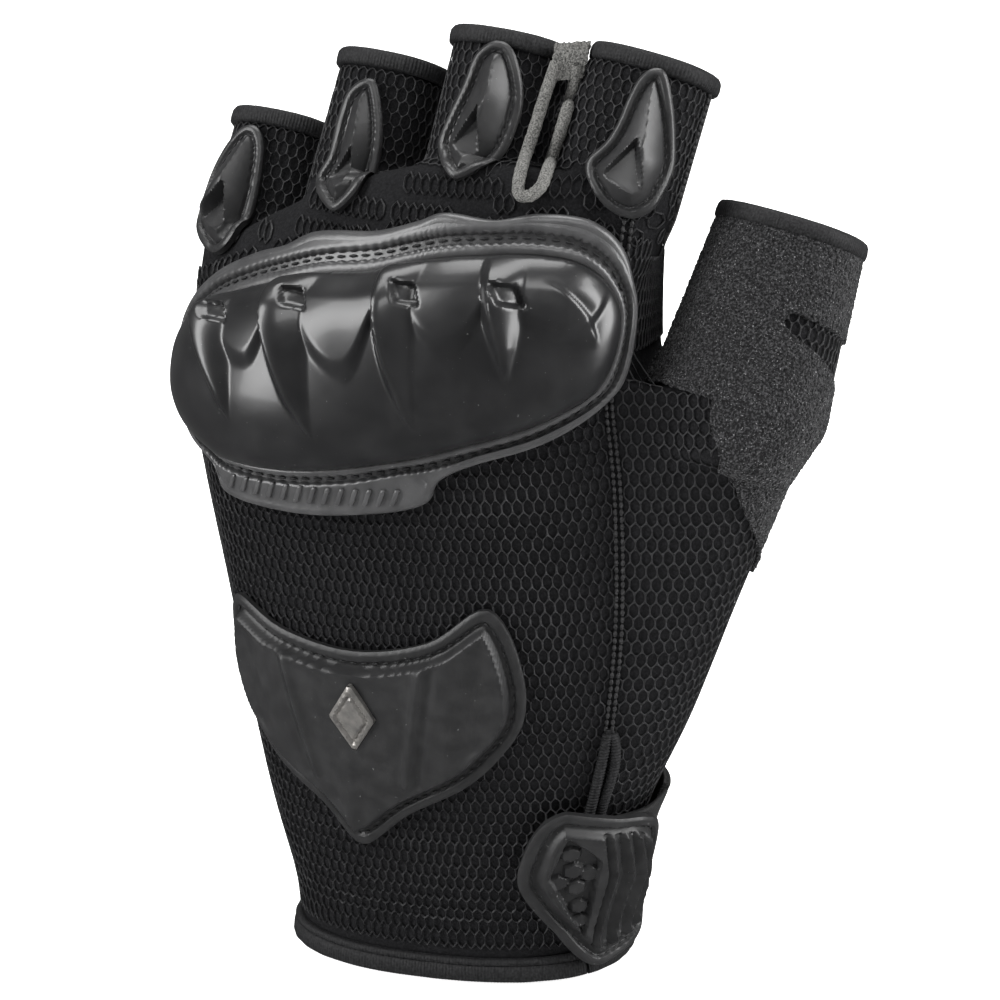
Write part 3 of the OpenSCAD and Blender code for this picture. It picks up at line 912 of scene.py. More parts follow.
# left side and right side at the top, tip, top and tip heights, stand
TALONS = [
    (-30.5, -20.8, -22.6, 133.5, 114, 2.3), (-17.6, -7, -7.4, 136, 111.5, 2.6),
    (3.2, 13, 11.2, 137, 113.5, 2.5),
    (20.3, 29.2, 25.6, 136.5, 119.5, 2.0),
]
# knuckle lobes: lowest point, reach to the left and right for a rise of 8
LOBES = [((-19, 121.5), 9.5, 4.5), ((-0.5, 120.6), 11, 5.5), (( 17.6, 123.6), 10, 5.5), ((33, 125), 12, 7)]
VENTS = [(-25.2, 129.2), (-10.8, 130.8), (10, 131.2), (25, 131.2)]


def ease(x):
    x = np.clip(x, 0, 1)
    return x * x * (3 - 2 * x)


def off_edge(u, v, edge):
    """how far each point is inside an outline, and the outline's nearest point"""
    a = np.array(edge)
    step = np.roll(a, -1, axis=0) - a
    p = np.stack([u, v], 1)[:, None]
    t = np.clip(((p - a) * step).sum(2) / (step ** 2).sum(1), 0, 1)
    near = a + t[..., None] * step
    gap = np.linalg.norm(p - near, axis=2)
    best = gap.argmin(1)
    pick = np.arange(len(best))
    slope = step[:, 0] / np.where(step[:, 1] == 0, 1e-9, step[:, 1])
    crossed = ((a[:, 1] > p[..., 1]) != (a[:, 1] + step[:, 1] > p[..., 1])) & (
        p[..., 0] < a[:, 0] + (p[..., 1] - a[:, 1]) * slope
    )
    return np.where(crossed.sum(1) % 2 == 1, 1, -1) * gap[pick, best], near[pick, best]


def relief(name, edge, step, height, place, seat, floor_closed=True):
    """a fine sheet cut to an outline, raised by height(u, v, off), with a wall down to its seat"""
    low, high = np.min(edge, 0), np.max(edge, 0)
    cells = np.ceil((high - low) / step).astype(int)
    bpy.ops.mesh.primitive_grid_add(x_subdivisions=int(cells[0]), y_subdivisions=int(cells[1]), size=1)
    sheet = bpy.context.object
    sheet.name = name

    def flat():
        return np.array([v.co[:2] for v in sheet.data.vertices])

    spread = low + (flat() + 0.5) * (high - low)
    for v, p in zip(sheet.data.vertices, spread):
        v.co = (*p, 0)
    drop_points(sheet, off_edge(*spread.T, edge)[0] < -0.3 * step)
    pick_points(sheet, [False] * len(sheet.data.vertices))
    bpy.ops.mesh.select_non_manifold(extend=False)
    bpy.ops.object.mode_set(mode="OBJECT")
    rim = np.array([v.select for v in sheet.data.vertices])
    spread = flat()
    spread[rim] = off_edge(*spread[rim].T, edge)[1]
    for v, p in zip(sheet.data.vertices, spread):
        v.co = (*p, 0)
    top = len(sheet.data.vertices)
    pick_points(sheet, rim)
    bpy.ops.mesh.select_non_manifold(extend=False)
    bpy.ops.mesh.extrude_region_move(TRANSFORM_OT_translate={"value": (0, 0, -1)})
    if floor_closed:
        bpy.ops.mesh.edge_face_add()
    bpy.ops.object.mode_set(mode="OBJECT")
    spread = flat()
    off = np.maximum(off_edge(*spread.T, edge)[0], 0)
    rise = height(spread[:, 0], spread[:, 1], off)
    for i, (v, p) in enumerate(zip(sheet.data.vertices, spread)):
        v.co = place(p[0], p[1], float(rise[i]) if i < top else seat) * MM
    return sheet


ring_turn = np.array([math.atan2(q[1] - GUARD_MIDDLE[1], q[0] - GUARD_MIDDLE[0]) for q in shell_edge])
ring_reach = np.array([math.dist(q, GUARD_MIDDLE) for q in shell_edge])
ring_order = ring_turn.argsort()
ring_turn, ring_reach = ring_turn[ring_order], ring_reach[ring_order]


def shell_height(u, v, off):
    x, y = u - GUARD_MIDDLE[0], v - GUARD_MIDDLE[1]
    share = np.hypot(x, y) / np.interp(np.arctan2(y, x), ring_turn, ring_reach, period=2 * math.pi)
    dome = GUARD_RISE * (0.27 + 0.73 * (1 - np.clip(share, 0, 1) ** 2.6) ** 0.6)
    fade = ease(off / 5)
    top = dome - 0.5 * ease((v - 126) / 8) * fade
    body = top.copy()
    for (mu, mv), left, right in LOBES:
        d = u - mu
        floor_line = mv + 8 * (d / np.where(d < 0, left, right)) ** 2
        body = np.maximum(body, top + 1.3 * ease((v - floor_line + 0.5) / 3.4) * ease((off + 0.5) / 4.5))
    for left, right, tip, high, low, stand in TALONS:
        t = np.clip((high - v) / (high - low), 0, 1)
        a = left + (tip - left) * t ** 2.3
        width = np.maximum(right + (tip - right) * t ** 1.3 - a, 0.3)
        x = u - a
        face = np.minimum(2.2, 0.5 * width)
        ridge = ease(x / face) * (1 - ease((x - face) / (width - face))) ** 0.7
        ridge *= (1 - t ** 2.4) * ease((high - v + 0.6) / 4.5)
        lifted = top + (1.6 * ease((v - 116) / 14) * fade + stand + 0.9) * ridge
        body = 0.5 * (body + lifted + np.sqrt((body - lifted) ** 2 + 0.05))
    for mu, mv in VENTS:
        x, y = u - mu + 0.5 * (v - mv), v - mv + 0.12 * (u - mu)
        body -= 1.5 * ease((2 - abs(x)) / 0.8) * ease((1.6 - abs(y)) / 0.8)
    crease = np.hypot(u - 25.5, v - 121.5) - 12.4
    body += 0.6 * (1 - ease(crease / 0.6 + 0.5)) * ease((v - 124) / 3) * ease((u - 29) / 4)
    return body


gloss_black = new_finish(
    "gloss_black_shell", (0.009, 0.009, 0.0095), 0.29, [("noise", 350, 0.02)],
    mottle=((0.014, 0.014, 0.0145), 150, 0.4, 0.7), flecks=((0.12, 0.12, 0.12), 1700, 0.735),
    gloss=0.42, coat=0.12,
)
shell = relief(
    "guard_dome", shell_edge, 0.3, shell_height, back, 0.3, floor_closed=False,
)
change(shell, "SOLIDIFY", thickness=1.4 * MM, offset=-1)
soften(shell, 35)
finish_piece(shell, gloss_black, "guard_gloss", "hand", "guard_shell")

outer_line, inner_line = outline(guard_outer, 30), outline(guard_inner, 30)


def frame_section(width):
    """the frame from its outer edge to its inner one: distance from the inner edge and height"""
    rim = width - 4.3
    return [
        (width - 0.15, 0.3), (width, 0.9), (width - 0.1, 1.6), (width - 0.5, 2.25), (width - 1.1, 2.5),
        (width - 1.6, 2.4), (3.9 + 0.5 * rim, 2.3), (3.5, 2.5), (3.1, 2.55), (2.75, 2.35), (2.6, 1.9),
        (2.5, 1.2),
        (1.5, 1.15), (1.35, 1.9), (1.2, 2.35), (0.8, 2.65), (0.35, 2.7), (0.05, 2.5), (0, 1.6), (0, 0.3),
    ]


def frame_point(u, v):
    k = round(u * len(outer_line)) % len(outer_line)
    outer, inner = Vector(outer_line[k]), Vector(inner_line[k])
    width = (outer - inner).length
    section = frame_section(width)
    if v > 0.999:
        v = 0
    off, lift = section[round(v * len(section))]
    if lift in (1.9, 2.35, 1.2, 1.15):
        off += 0.07 * (1 if k % 6 < 3 else -1) * (1 if off < 2 else -1)
    where = inner + (outer - inner).normalized() * off
    return back(where.x, where.y, lift)


silver_rubber = new_finish(
    "worn_grey_rubber", (0.034, 0.034, 0.035), 0.34, [("noise", 900, 0.06), ("noise", 2800, 0.03)],
    mottle=((0.05, 0.05, 0.051), 260, 0.35, 0.7), flecks=((0.2, 0.2, 0.2), 2300, 0.73), gloss=0.55,
)
frame_steps = len(outer_line)
border = drape(
    "guard_border", frame_steps, len(frame_section(5)), lambda u, v: frame_point(1 - u, v), wrap=True,
)
soften(border, 50)
tab_bars = []
for k in range(13):
    u = -29.5 + 2.75 * k
    a = back(u - 0.7, 98.6 + 0.0022 * (u + 14) ** 2, 2.5)
    b = back(u + 0.9, 101.8 + 0.001 * (u + 14) ** 2, 2.5)
    across = (back(u + 1, 100, 2.5) - back(u, 100, 2.5)).normalized()
    up = across.cross((b - a).normalized())
    tab_bars.append(((a + b) / 2, across * 0.5, (b - a) / 2, up * 0.5))
bpy.ops.mesh.primitive_cube_add(size=2)
bar = bpy.context.object
change(bar, "BEVEL", width=0.35, segments=2)
bars = set_out("frame_tab_bars", bar, tab_bars)
border = join("guard_border", [border, bars])
finish_piece(border, silver_rubber, "guard_rubber", "hand", "guard_frame")

seam_line = []
for outer, inner in zip(outline(guard_outer, 6), outline(guard_inner, 6)):
    outer, inner = Vector(outer), Vector(inner)
    where = inner + (outer - inner).normalized() * 2
    seam_line.append(back(where.x, where.y, 1.35))
frame_thread = stitches("guard_thread", seam_line, 1.9, 0.7, 0.62, skin_out, closed=True)
finish_piece(frame_thread, black_thread, "thread", "hand", "guard_stitching")

foam_edge = [tuple(Vector(GUARD_MIDDLE).lerp(Vector(q), 0.88)) for q in shell_edge]
foam = relief(
    "knuckle_pad", foam_edge, 2.0,
    lambda u, v, off: np.minimum(0.9 + 2.2 * np.sqrt(off), 5.6) , back, 0.3,
)
foam_look = new_finish("grey_foam", (0.03, 0.03, 0.032), 0.95, [("cells", 900, 0.25)], gloss=0.1)
soften(foam, 60)
finish_piece(foam, foam_look, "foam", "hand", "knuckle_foam")

# ---- Plate on the back of the hand ----
# A shield of satin rubber sewn down through a groove inside its flange, with a raised body, two ribs and two
# hollows moulded in, and a small pewter-coloured lozenge set in the middle.
plate_edge = outline([
    (-13, 28), (-22, 36), (-33, 43), (-41, 52), (-43, 64), (-38, 75), (-26, 71), (-10, 69), (6, 72), (18, 79),
    (24, 67), (24, 55), (15, 44), (0, 36),
], 6)


def rib(u, v, a, b, width):
    """1 along the line from a to b, falling to 0 beside it"""
    a, b = np.array(a, float), np.array(b, float)
    t = np.clip(((u - a[0]) * (b - a)[0] + (v - a[1]) * (b - a)[1]) / ((b - a) ** 2).sum(), 0, 1)
    return np.exp(-(((u - a[0] - t * (b - a)[0]) ** 2 + (v - a[1] - t * (b - a)[1]) ** 2) / width ** 2))


def flange(off, width, lift, groove):
    """the rounded flange of a sewn moulding and the stitch groove inside it"""
    edge = lift - 0.5 * (1 - np.sqrt(np.clip(off / 0.6, 0, 1)))
    return edge - (lift - groove) * ease((off - width) / 0.6)


def plate_height(u, v, off):
    body = 0.9 + 2.3 * ease((off - 2.8) / 1.3) + 0.5 * ease((off - 4) / 9)
    for a, b in (((-25, 67), (-20, 44)), ((5, 68), (1, 44))):
        body += 0.75 * rib(u, v, a, b, 1.1) * ease((off - 3) / 2)
        beside = 2.2 if a[0] > 0 else -2.2
        body -= 0.5 * rib(u, v, (a[0] + beside, a[1]), (b[0] + beside, b[1]), 1.2) * ease((off - 3) / 2)
    for a, b in (((-35, 68), (-33, 52)), ((17, 71), (14, 52))):
        body -= 0.7 * rib(u, v, a, b, 3.2) * ease((off - 3.5) / 2)
    body += 0.5 * rib(u, v, (-12.5, 46), (-13, 32), 2.2) * ease((off - 3) / 2)
    return np.where(off < 2.8, flange(off, 1.7, 1.55, 0.85), body)


satin_rubber = new_finish(
    "satin_black_rubber", (0.014, 0.014, 0.0145), 0.42, [("noise", 2600, 0.012)],
    mottle=((0.02, 0.02, 0.0205), 300, 0.4, 0.7), flecks=((0.1, 0.1, 0.1), 1500, 0.725), gloss=0.3,
)
plate = relief("back_shield", plate_edge, 0.38, plate_height, back, 0.1)
soften(plate, 40)
finish_piece(plate, satin_rubber, "rubber", "hand", "back_plate")


def inner_line_of(edge, off):
    """an outline moved in by a distance, towards its own middle line"""
    ring = []
    for i, q in enumerate(edge):
        a, b = edge[i - 1], edge[(i + 1) % len(edge)]
        run = Vector((b[0] - a[0], b[1] - a[1])).normalized()
        ring.append(Vector(q) + Vector((run.y, -run.x)) * off)
    return ring


plate_seam = [back(q.x, q.y, 1.05) for q in inner_line_of(plate_edge, 2.25)]
finish_piece(
    stitches("shield_thread", plate_seam, 1.5, 0.8, 0.5, skin_out, closed=True), black_thread, "thread",
    "hand",
    "back_plate_stitching",
)
pewter = new_finish(
    "pewter_paint", (0.26, 0.25, 0.235), 0.38, [("noise", 2600, 0.03)],
    mottle=((0.16, 0.155, 0.15), 500, 0.4, 0.7),
    metallic=0.7,
)
lozenge = relief(
    "shield_lozenge", outline([(-10, 50), (-15, 57), (-10, 64), (-5, 57)], 1), 0.4,
    lambda u, v, off: (
        4.4 + 0.35 * ease(off / 0.4) - 0.45 * ease((off - 0.9) / 0.15) * ease((1.6 - off) / 0.15)
    ),
    back, 3.4,
)
soften(lozenge, 30)
finish_piece(lozenge, pewter, "pewter", "hand", "back_plate_lozenge")

# ---- Finger caps ----
# Each finger's back carries a small teardrop of moulded rubber: a flange, a stitched groove, and a faceted
# body that meets in a crest over a three-sided recess near its foot.
# each outline clockwise from its foot: millimetres from the finger's middle line, and up the stall
CAP_SHAPE = {
    "little": [(-3.5, -5.5), (-9, -2), (-12, 2), (-11, 8), (-8.5, 14), (-5.5, 19), (-2.5, 20), (0, 17),
               (1.2, 11),
               (1.6, 3), (0.3, -3.5)],
    "ring": [(1, -3), (-3, -1), (-6, 3), (-4.8, 8), (-5, 14.5), (-4.5, 20), (-2, 23), (0.6, 22.5),
             (3.5, 15.5),
             (4.6, 8), (4, 1)],
    "middle": [(0.5, 1), (-3, 2.5), (-6, 7), (-5.5, 12), (-4, 18.5), (-3, 24.5), (0, 27.5), (3.5, 26.5),
               (6.5, 20),
               (7, 14), (5.5, 6.5)],
    "index": [(6, -3), (2, -2.5), (-1.5, 0), (-3.5, 3), (-3.5, 5.5), (-1.5, 9), (-0.5, 13), (0, 18),
              (1, 22), (3, 24),
              (5, 23.5), (7.5, 18.5), (9.5, 13), (10.8, 8), (10.2, 3), (9, -0.5)],
}
# the recess: its top corner, left and right
CAP_PIT = {
    "little": ((-4, 7.5), (-7.4, 0.2), (-2.4, -1.6)), "ring": ((-0.4, 9.6), (-3.4, 1.9), (1.6, -0.2)),
    "middle": ((0.3, 14.4), (-3.2, 6.4), (2.4, 4.2)), "index": ((3.6, 10.4), (0, 2.8), (6.8, 0.2)),
}


def cap_height(apex, left, right):
    def height(u, v, off):
        body = 0.95 + 0.9 * np.minimum(off - 2.1, 3.6) + 0.1 * np.clip(off - 5.7, 0, 9)
        sides = []
        for a, b in ((apex, left), (left, right), (right, apex)):
            run = np.array(b, float) - a
            sides.append(((u - a[0]) * -run[1] + (v - a[1]) * run[0]) / math.hypot(*run))
        depth = np.minimum(np.minimum(sides[0], sides[1]), sides[2])
        hole = ease(depth / 0.5 + 0.5)
        pit = 0.5 + 2.2 * np.clip((apex[1] - v) / (apex[1] - right[1]), 0, 1) ** 1.4
        face = body * (1 - hole) + np.minimum(pit, body) * hole
        return np.where(off < 2.1, flange(off, 1.2, 1.5, 0.7), face)
    return height


cap_rubber = new_finish(
    "cap_rubber", (0.014, 0.014, 0.0145), 0.38, [("noise", 3200, 0.01)],
    mottle=((0.02, 0.02, 0.0205), 400, 0.4, 0.7), flecks=((0.12, 0.12, 0.12), 2000, 0.73), gloss=0.4,
)
for finger in FINGERS:
    stall = STALLS[finger]
    edge = outline(CAP_SHAPE[finger], 6)

    def over_cap(u, v, lift, stall=stall):
        """over the stall, and over the knuckle where the cap's foot reaches below it"""
        p = stall(u * RADIAN / stall.width, v)
        n = (stall(u * RADIAN / stall.width, v, 1) - p).normalized()
        low = min(max((6 - v) / 8, 0), 1) ** 2 * (3 - 2 * min(max((6 - v) / 8, 0), 1))
        up = (stall(0, v, 1) - stall(0, v)).normalized()
        hit, m = skin_tree.ray_cast((p + up * 14) * MM, -up)[:2]
        if low and hit:
            buried = (hit / MM - p).dot(up)
            p += up * (min(buried, 9) if buried > 0 else low * max(buried, -0.5))
            n = n.lerp(m, 0.6 * low).normalized()
        return p + n * (lift + 0.35)

    cap = relief(
        finger + "_shield", edge, 0.26, cap_height(*CAP_PIT[finger]), over_cap, -0.3,
    )
    soften(cap, 28)
    finish_piece(cap, cap_rubber, "rubber", finger, finger + "_cap")
    path = [over_cap(q.x, q.y, 0.82) for q in inner_line_of(edge, 1.65)]
    thread = stitches(
        finger + "_thread", path, 1.3, 0.6, 0.42,
        lambda p, stall=stall: p - stall.base - stall.along * stall.reach(p),
        closed=True,
    )
    finish_piece(thread, black_thread, "thread", finger, finger + "_cap_stitching")

# ---- Bindings ----
# The cuff's hem, the mouths of the stalls and the two edges of the wrist slit are bound in black ribbed tape,
# folded over the cut edge and sewn; above the hem runs a thin ribbed piping.


def binding(name, surface, start, end, section, ribs, across=240):
    """tape folded over an edge: section lists (distance along, height) round the tape, with fine ribs"""

    def place(u, v):
        k = min(int(round(v * (len(section) - 1))), len(section) - 1)
        s, lift = section[k]
        angle = start + (end - start) * u
        wave = 0.06 * math.cos(2 * math.pi * ribs * u) if 0 < k < len(section) - 1 else 0
        wave += 0.12 * noise.noise(Vector((u * 60, s * 0.5, start)))
        return surface(angle, s, lift + wave)

    tape = drape(name, across, len(section) - 1, place, wrap=True)
    pick_points(tape, [True] * len(tape.data.vertices))
    bpy.ops.mesh.fill_holes(sides=0)
    bpy.ops.object.mode_set(mode="OBJECT")
    soften(tape, 60)
    return tape


ribbed_tape = new_finish(
    "ribbed_black_tape", (0.008, 0.008, 0.0085), 0.6, [("noise", 4200, 0.06), ("noise", 1500, 0.05)],
    mottle=((0.02, 0.02, 0.021), 2400, 0.4, 0.7), gloss=0.15, sheen=0,
)
hem_section = [
    (5.6, -0.9), (5.9, 0.1), (5.7, 0.7), (5.2, 1.0), (4.8, 0.95), (4.5, 0.7), (4.3, 1.0), (3, 1.35),
    (1.6, 1.45),
    (0.6, 1.3), (0.05, 0.6), (0, -0.4), (0.1, -1.4), (0.8, -1.9), (2.5, -1.9), (4.5, -1.6), (5.6, -0.9),
]
hem = binding(
    "hem_tape", plain, THUMB_SEAM + 0.6, THUMB_SEAM + 359.4, hem_section, 330,
    across=1320,
)
finish_piece(hem, ribbed_tape, "binding", "hand", "cuff_binding")
for finger, stall in STALLS.items():
    end = stall.length
    section = [
        (end - 3, -0.5), (end - 3, 0.35), (end - 2.6, 0.8), (end - 1.6, 0.95), (end - 0.5, 0.9),
        (end + 0.2, 0.5),
        (end + 0.4, -0.3), (end + 0.1, -1.3), (end - 1, -1.6), (end - 2.6, -1.3), (end - 3, -0.5),
    ]
    mouth = binding(
        finger + "_mouth", stall, 0, 360, section, 110 if finger != "thumb" else 150,
        across=440,
    )
    finish_piece(mouth, ribbed_tape, "binding", finger, finger + "_hem")


def slit_side(name, front):
    def place(u, v):
        z = 7 + 46 * v
        top = min(max((z - 43) / 10, 0), 1)
        if front:
            middle = worn(55.6 + 1.5 * top * top, z)
        else:
            middle = worn(57.6, z).lerp(worn(60.6, z), 0.42 * (1 - top * top))
        side = (worn(57.4, z) - worn(55, z)).normalized()
        out = side.cross(Vector((0, 0, 1))).normalized()
        rib_here = (1 + 0.08 * math.cos(2 * math.pi * v * 46 / 0.62)) * (1 if 0.02 < v < 0.98 else 0.5)
        turn_here = 2 * math.pi * u
        return middle + side * (1.05 * math.cos(turn_here) * rib_here + 0.3 * math.sin(v * 9)) + out * (
            1.1 * math.sin(turn_here) * rib_here + 0.75)
    edge = drape(name, 12, 420, place, wrap=True)
    soften(edge, 70)
    return edge


slit = join("slit_tapes", [slit_side("slit_front", True), slit_side("slit_rear", False)])
finish_piece(slit, ribbed_tape, "binding", "hand", "slit_binding")

# ---- Towelling on the thumb ----
# A patch of rough looped towelling, for wiping a brow, wraps the thumb and runs down over its base to a
# point; a narrow notch at the thumb's outer side leaves the mesh bare.


def tufted(p, normal, depth=0.5):
    """a point of the towelling, its loops standing out of the cloth"""
    grain = noise.noise(p * 1.9) + 0.6 * noise.noise(p * 4.1)
    return p + normal * (0.55 + depth * grain)


thumb = STALLS["thumb"]


def notched(angle, s):
    """how far a place on the thumb is inside the notch in the towelling"""
    t = (angle - 25) / 90
    if t < 0:
        return -9
    return (1.6 + 3 * t) * min(1, math.sqrt(t / 0.06)) - abs(s - 17 + 5 * t)


def wipe_place(u, v):
    angle = -118 + 262 * u
    s = -0.5 + (thumb.length - 2.4) * v
    p, normal = on_skin(thumb(angle, s))
    sunk = max(0, 2 - s) * 0.35 if 62 < angle < 135 else 0
    lift = tufted(p, normal, 0.32) - normal * sunk
    return p - normal * 0.7 if notched(angle, s) > 0 else lift


towelling = new_finish(
    "looped_towelling", (0.006, 0.006, 0.0065), 0.8, [("cells", 1900, 0.3), ("noise", 3800, 0.15)],
    mottle=((0.045, 0.045, 0.047), 2400, 0.47, 0.66), flecks=((0.2, 0.2, 0.205), 2900, 0.66), gloss=0.2,
    sheen=0.05,
)
wipe = drape("thumb_towelling", 330, 130, wipe_place)
change(wipe, "SOLIDIFY", thickness=0.5 * MM, offset=-1)
soften(wipe, 80)
finish_piece(wipe, towelling, "towelling", ("hand", "thumb"), "thumb_wipe_patch")


def tail_place(u, v):
    z = 78 + 47 * v
    front = gusset_turn(16 + 8 * (1 - v) ** 1.3 + 9 * (1 - v) ** 6, min(z, 112))
    rear = 124 - 20 * (1 - v) ** 3
    angle = front + (rear - front) * u
    low = z + 2 * (1 - v) * abs(2 * u - 1)
    p, normal = on_skin(worn(angle, min(low, gusset_top(angle) + 5)))
    return tufted(p, normal, 0.32) - normal * 0.35 * max(0, min(low - gusset_top(angle) - 2.6, 2))


tail = drape("towelling_tail", 200, 140, tail_place)
change(tail, "SOLIDIFY", thickness=0.5 * MM, offset=-1)
soften(tail, 80)
finish_piece(tail, towelling, "towelling", "hand", "wipe_patch_tail")

# ---- Pull loop ----
# A loop of heather-grey knitted tape stands on the little-finger side of the index stall, its two legs sewn
# into the mouth, for pulling the glove off by.
index = STALLS["index"]
loop_path = [Vector(q) for q in (
    (33, 8.5, 173.5), (31.8, 8, 168), (30, 6.8, 162), (28.2, 4.2, 155.5), (27.4, 1, 151.6), (25.8, -2, 150.6),
    (24.6, -3.2, 152), (25.2, -2, 156.5), (27, 1.6, 164), (28.4, 4.8, 170), (29.6, 7.4, 174.5),
)]
fine_path = []
for i in range(len(loop_path) - 1):
    near = [loop_path[min(max(i + k, 0), len(loop_path) - 1)] for k in (-1, 0, 1, 2)]
    for t in range(6):
        p = through(*near, t / 6)
        hit = skin_tree.ray_cast((p + toward * 30) * MM, -toward)[0]
        clear = (hit / MM - p).dot(toward) + 1.9 if hit and p.z < 166 else 0
        fine_path.append(p + toward * min(max(clear, 0), 12))


def loop_place(u, v):
    k = v * (len(fine_path) - 1)
    i = min(int(k), len(fine_path) - 2)
    middle = fine_path[i].lerp(fine_path[i + 1], k - i)
    run = fine_path[min(i + 2, len(fine_path) - 1)] - fine_path[max(i - 1, 0)]
    side = toward.cross(run).normalized()
    turn_here = 2 * math.pi * u
    grain = 1 + 0.12 * noise.noise(middle * 2.3 + Vector((u * 9, 0, 0)))
    out = run.cross(side).normalized()
    return middle + side * 1.15 * grain * math.cos(turn_here) + out * 1.5 * grain * math.sin(turn_here)


heather = new_finish(
    "heather_tape", (0.05, 0.05, 0.048), 0.8, [("cells", 2600, 0.2), ("noise", 3600, 0.1)],
    mottle=((0.17, 0.168, 0.16), 3300, 0.36, 0.6), gloss=0.12, sheen=0.02,
)
loop_leg = drape("loop_leg", 14, 150, loop_place, wrap=True)


def loop_top(u, v):
    low, high = Vector((28.6 + 5.4 * u, 5.6 + 2.6 * u, 171)), Vector((28.9 + 6 * u, 8.6 + 2.4 * u, 177.2))
    frayed = 0.5 * noise.noise(Vector((u * 14, 0, 0))) * (v > 0.9)
    return low.lerp(high, v + 0.1 * frayed) + toward * 0.25 * noise.noise(Vector((u * 20, v * 12, 3)))


loop_cap = drape("loop_cap", 30, 24, loop_top)
change(loop_cap, "SOLIDIFY", thickness=0.9 * MM, offset=0)
pull = join("pull_tape", [loop_leg, loop_cap])
soften(pull, 60)
finish_piece(pull, heather, "grey_tape", "index", "pull_loop")

# ---- Wrist closure ----
# A strap of black tape folds back from an anchor at the palm side and holds by hook and loop over the slit;
# a rubber tab moulded with a panel of hexagons and bent ribs is sewn on top of its end.


def under_tab(z):
    """where the tapes under the tab start, a little inside its edge, in degrees round the wrist"""
    return (19 + 0.66 * max(z - 22, 0) + 0.5 * max(22 - z, 0)) / 0.48


def strip(name, surface, a, z, lift, thick, cells=(40, 30)):
    def place(u, v):
        height = z[0] + (z[1] - z[0]) * v
        start = max(a[0], under_tab(height)) if a[0] < 45 else a[0]
        return surface(start + (a[1] - start) * u, height, lift)

    tape = drape(name, *cells, place)
    change(tape, "SOLIDIFY", thickness=thick * MM, offset=1)
    change(tape, "BEVEL", width=0.25 * MM, segments=2, limit_method="ANGLE")
    soften(tape, 50)
    return tape


strap_tape = new_finish(
    "woven_strap", (0.012, 0.012, 0.012), 0.7, [("ribs_z", 700, 0.12), ("noise", 3600, 0.08)],
    mottle=((0.024, 0.024, 0.025), 1800, 0.4, 0.7), gloss=0.2,
)
loop_pile = new_finish(
    "loop_pile", (0.01, 0.01, 0.01), 0.95, [("noise", 2600, 0.3)],
    mottle=((0.03, 0.03, 0.03), 1900, 0.4, 0.7), gloss=0.1,
)
hook_pile = new_finish(
    "hook_pile", (0.012, 0.012, 0.012), 0.6, [("cells", 1300, 0.3)],
    mottle=((0.03, 0.03, 0.03), 900, 0.4, 0.7), gloss=0.3,
)
finish_piece(
    strip("loop_strip", cuffed, (38, 53), (12, 34), 0.3, 0.4), loop_pile, "binding", "hand", "loop_patch",
)
finish_piece(
    strip("hook_strip", cuffed, (39, 52.5), (13, 33), 0.85, 0.6), hook_pile, "binding", "strap", "hook_patch",
)
finish_piece(
    strip("strap_tape", cuffed, (37, 95.5), (9, 35), 1.6, 1.0), strap_tape, "binding", "strap",
    "closure_strap",
)
finish_piece(
    strip("anchor_tape", worn, (100.5, 152), (9, 35), 0.9, 1.6), strap_tape, "binding", "hand", "strap_anchor"
)

TAB_LOW = 3
tab_edge = outline([
    (15.8, 23), (16.3, 29.5), (18.2, 35.8), (21.2, 38.4), (25, 37.4), (29.5, 36), (34.5, 35), (39, 32),
    (43.2, 25),
    (45, 17.5), (45, 10.5), (43.5, 6.8), (39.4, 5.2), (33, 4.4), (28.3, 4), (24.4, 7.4), (19.8, 14.6),
], 6)
tab_panel = [(22.4, 33.4), (27.3, 27.8), (26.7, 19), (26, 10.8), (20, 25.4)]
tab_ribs = [
    ((28.4, 34), (30.6, 24.4), (28.6, 7.5)), ((30.6, 33.8), (34.2, 23.4), (32.4, 7.5)),
    ((32.8, 33.4), (38, 21.5), (36.4, 7.8)), ((34.8, 33), (41.2, 19), (39.8, 8.2)),
    ((36.6, 32.2), (44, 16.5), (43, 9)),
]
tab_cells = [(22.9, 29.7), (23.5, 26.2), (26.1, 25.2), (21.4, 24), (24.2, 22.6), (24.9, 18.4), (25.3, 14.9)]


def tab_height(u, v, off):
    body = 1.0 + 1.9 * ease((off - 2.4) / 1.6) + 0.25 * ease((off - 4) / 3)
    body -= 0.05 * abs(v - 22) * ease((off - 3) / 3)
    panel_off = off_edge(u, v, tab_panel)[0]
    floor_here = 1.3 * np.ones_like(u)
    for mu, mv in tab_cells:
        x, y = abs(u - mu), abs(v - mv)
        six = np.maximum(x, 0.5 * x + 0.866 * y)
        floor_here = np.maximum(floor_here, 1.3 + 0.85 * ease((1.38 - six) / 0.3 + 0.5))
    hole = ease(panel_off / 0.4 + 0.5)
    body = body * (1 - hole) + floor_here * hole
    groove = np.zeros_like(u)
    ridge = np.zeros_like(u)
    for top, bend, foot in tab_ribs:
        t = np.clip((v - foot[1]) / (top[1] - foot[1]), 0, 1)
        middle = np.where(
            v > bend[1], bend[0] + (top[0] - bend[0]) * (v - bend[1]) / (top[1] - bend[1]),
            bend[0] + (foot[0] - bend[0]) * (bend[1] - v) / (bend[1] - foot[1]),
        )
        ridge = np.maximum(ridge, 1 - abs(u - middle) / 1.5)
    first = np.where(v > 24.4, 28.9 - 0.2 * (v - 24.4), 28.9 - 0.11 * (24.4 - v))
    zone = ease((u - first) / 0.4) * ease((off - 2.9) / 0.5)
    body = body - 1.7 * zone * (1 - ridge)
    return TAB_LOW + np.where(off < 2.4, flange(off, 1.5, 1.6, 0.9), np.maximum(body, 0.9))


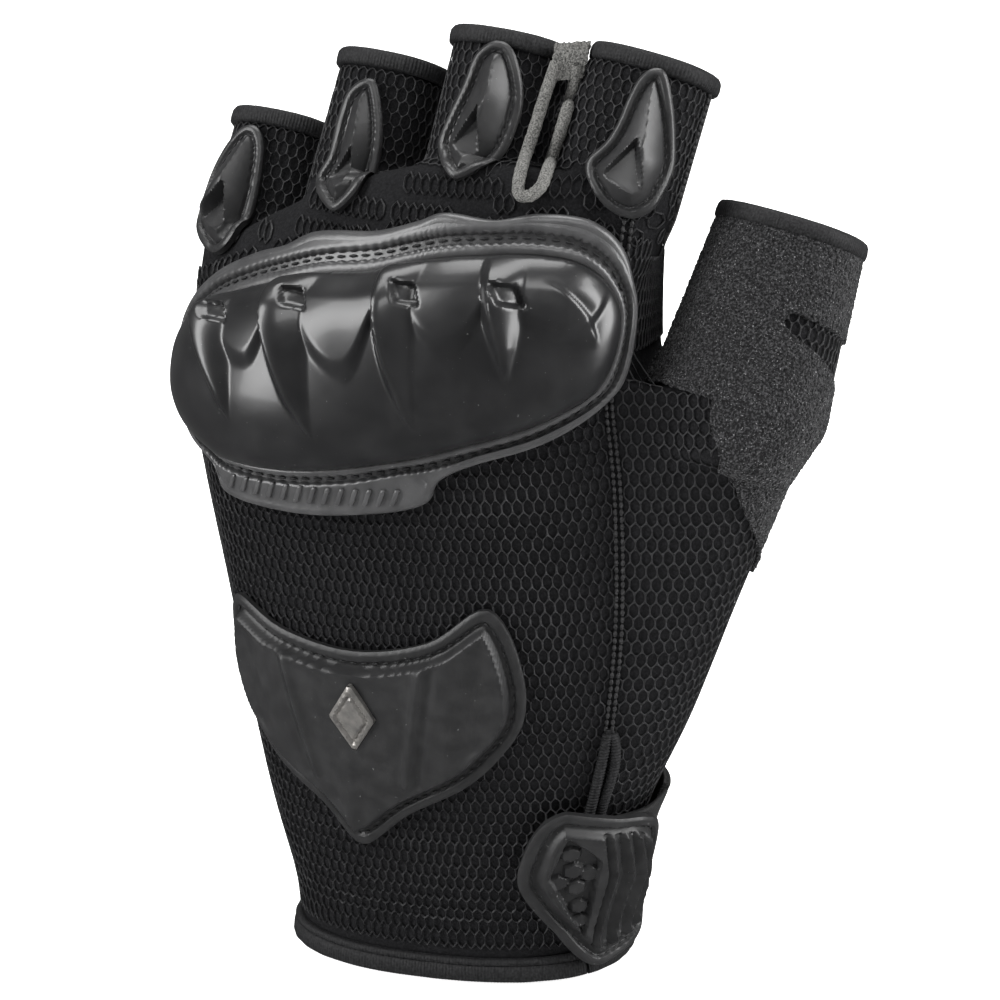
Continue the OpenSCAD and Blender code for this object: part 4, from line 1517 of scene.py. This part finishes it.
tab = relief("closure_moulding", tab_edge, 0.25, tab_height, wrist, TAB_LOW)
soften(tab, 28)
finish_piece(tab, satin_rubber, "rubber", "strap", "closure_tab")
tab_seam = [wrist(q.x, q.y, TAB_LOW + 1.05) for q in inner_line_of(tab_edge, 1.95)]
finish_piece(
    stitches("tab_thread", tab_seam, 1.3, 0.6, 0.42, skin_out, closed=True), black_thread, "thread", "strap",
    "tab_stitching",
)

# ---- Palm ----
# The palm is synthetic suede with a second layer where reins or grips rub, a padded heel, and a thin lining
# behind the back of the hand; the layer and the heel are each edged by a row of stitches.


def palm_layer(name, a, z, lift, thick, puff, stitch_in):
    def place(u, v):
        edge = min(u, 1 - u, v, 1 - v)
        round_off = 1 if edge > 0.06 else math.sqrt(max(edge, 0) / 0.06)
        p, normal = on_skin(plain(a[0] + (a[1] - a[0]) * u, z[0] + (z[1] - z[0]) * v))
        swell = puff * (1 - (2 * u - 1) ** 4) * (1 - (2 * v - 1) ** 4)
        return p + normal * (lift + thick * round_off + swell)

    layer = drape(name, 80, 60, place)
    change(layer, "SOLIDIFY", thickness=thick * MM, offset=-1)
    soften(layer, 60)
    ring = [
        (stitch_in, stitch_in), (1 - stitch_in, stitch_in), (1 - stitch_in, 1 - stitch_in),
        (stitch_in, 1 - stitch_in),
    ]
    path = []
    for (au, av), (bu, bv) in zip(ring, ring[1:] + ring[:1]):
        path += [place(au + (bu - au) * t / 20, av + (bv - av) * t / 20) for t in range(20)]
    return layer, stitches(name + "_thread", path, 2, 1, 0.45, skin_out, closed=True)


palm_layer_piece, palm_thread = palm_layer("palm_layer", (140, 235), (62, 112), 0.1, 0.9, 0.1, 0.05)
heel, heel_thread = palm_layer("heel_cushion", (170, 240), (18, 56), 0.1, 1.0, 1.7, 0.07)
finish_piece(palm_layer_piece, suede, "suede", "hand", "palm_patch")
finish_piece(heel, suede, "suede", "hand", "heel_pad")
finish_piece(join("palm_threads", [palm_thread, heel_thread]), black_thread, "thread", "hand")
lining = strip(
    "lining_cloth", plain, (LITTLE_SEAM + 4, THUMB_SEAM - 3), (2, HAND_TOP - 6), -3.0, 0.6, (60, 60),
)
lining_look = new_finish(
    "lining_knit", (0.02, 0.02, 0.02), 0.9, [("ribs_z", 900, 0.06), ("noise", 2500, 0.06)], gloss=0.1,
)
finish_piece(lining, lining_look, "suede", "hand", "back_lining")
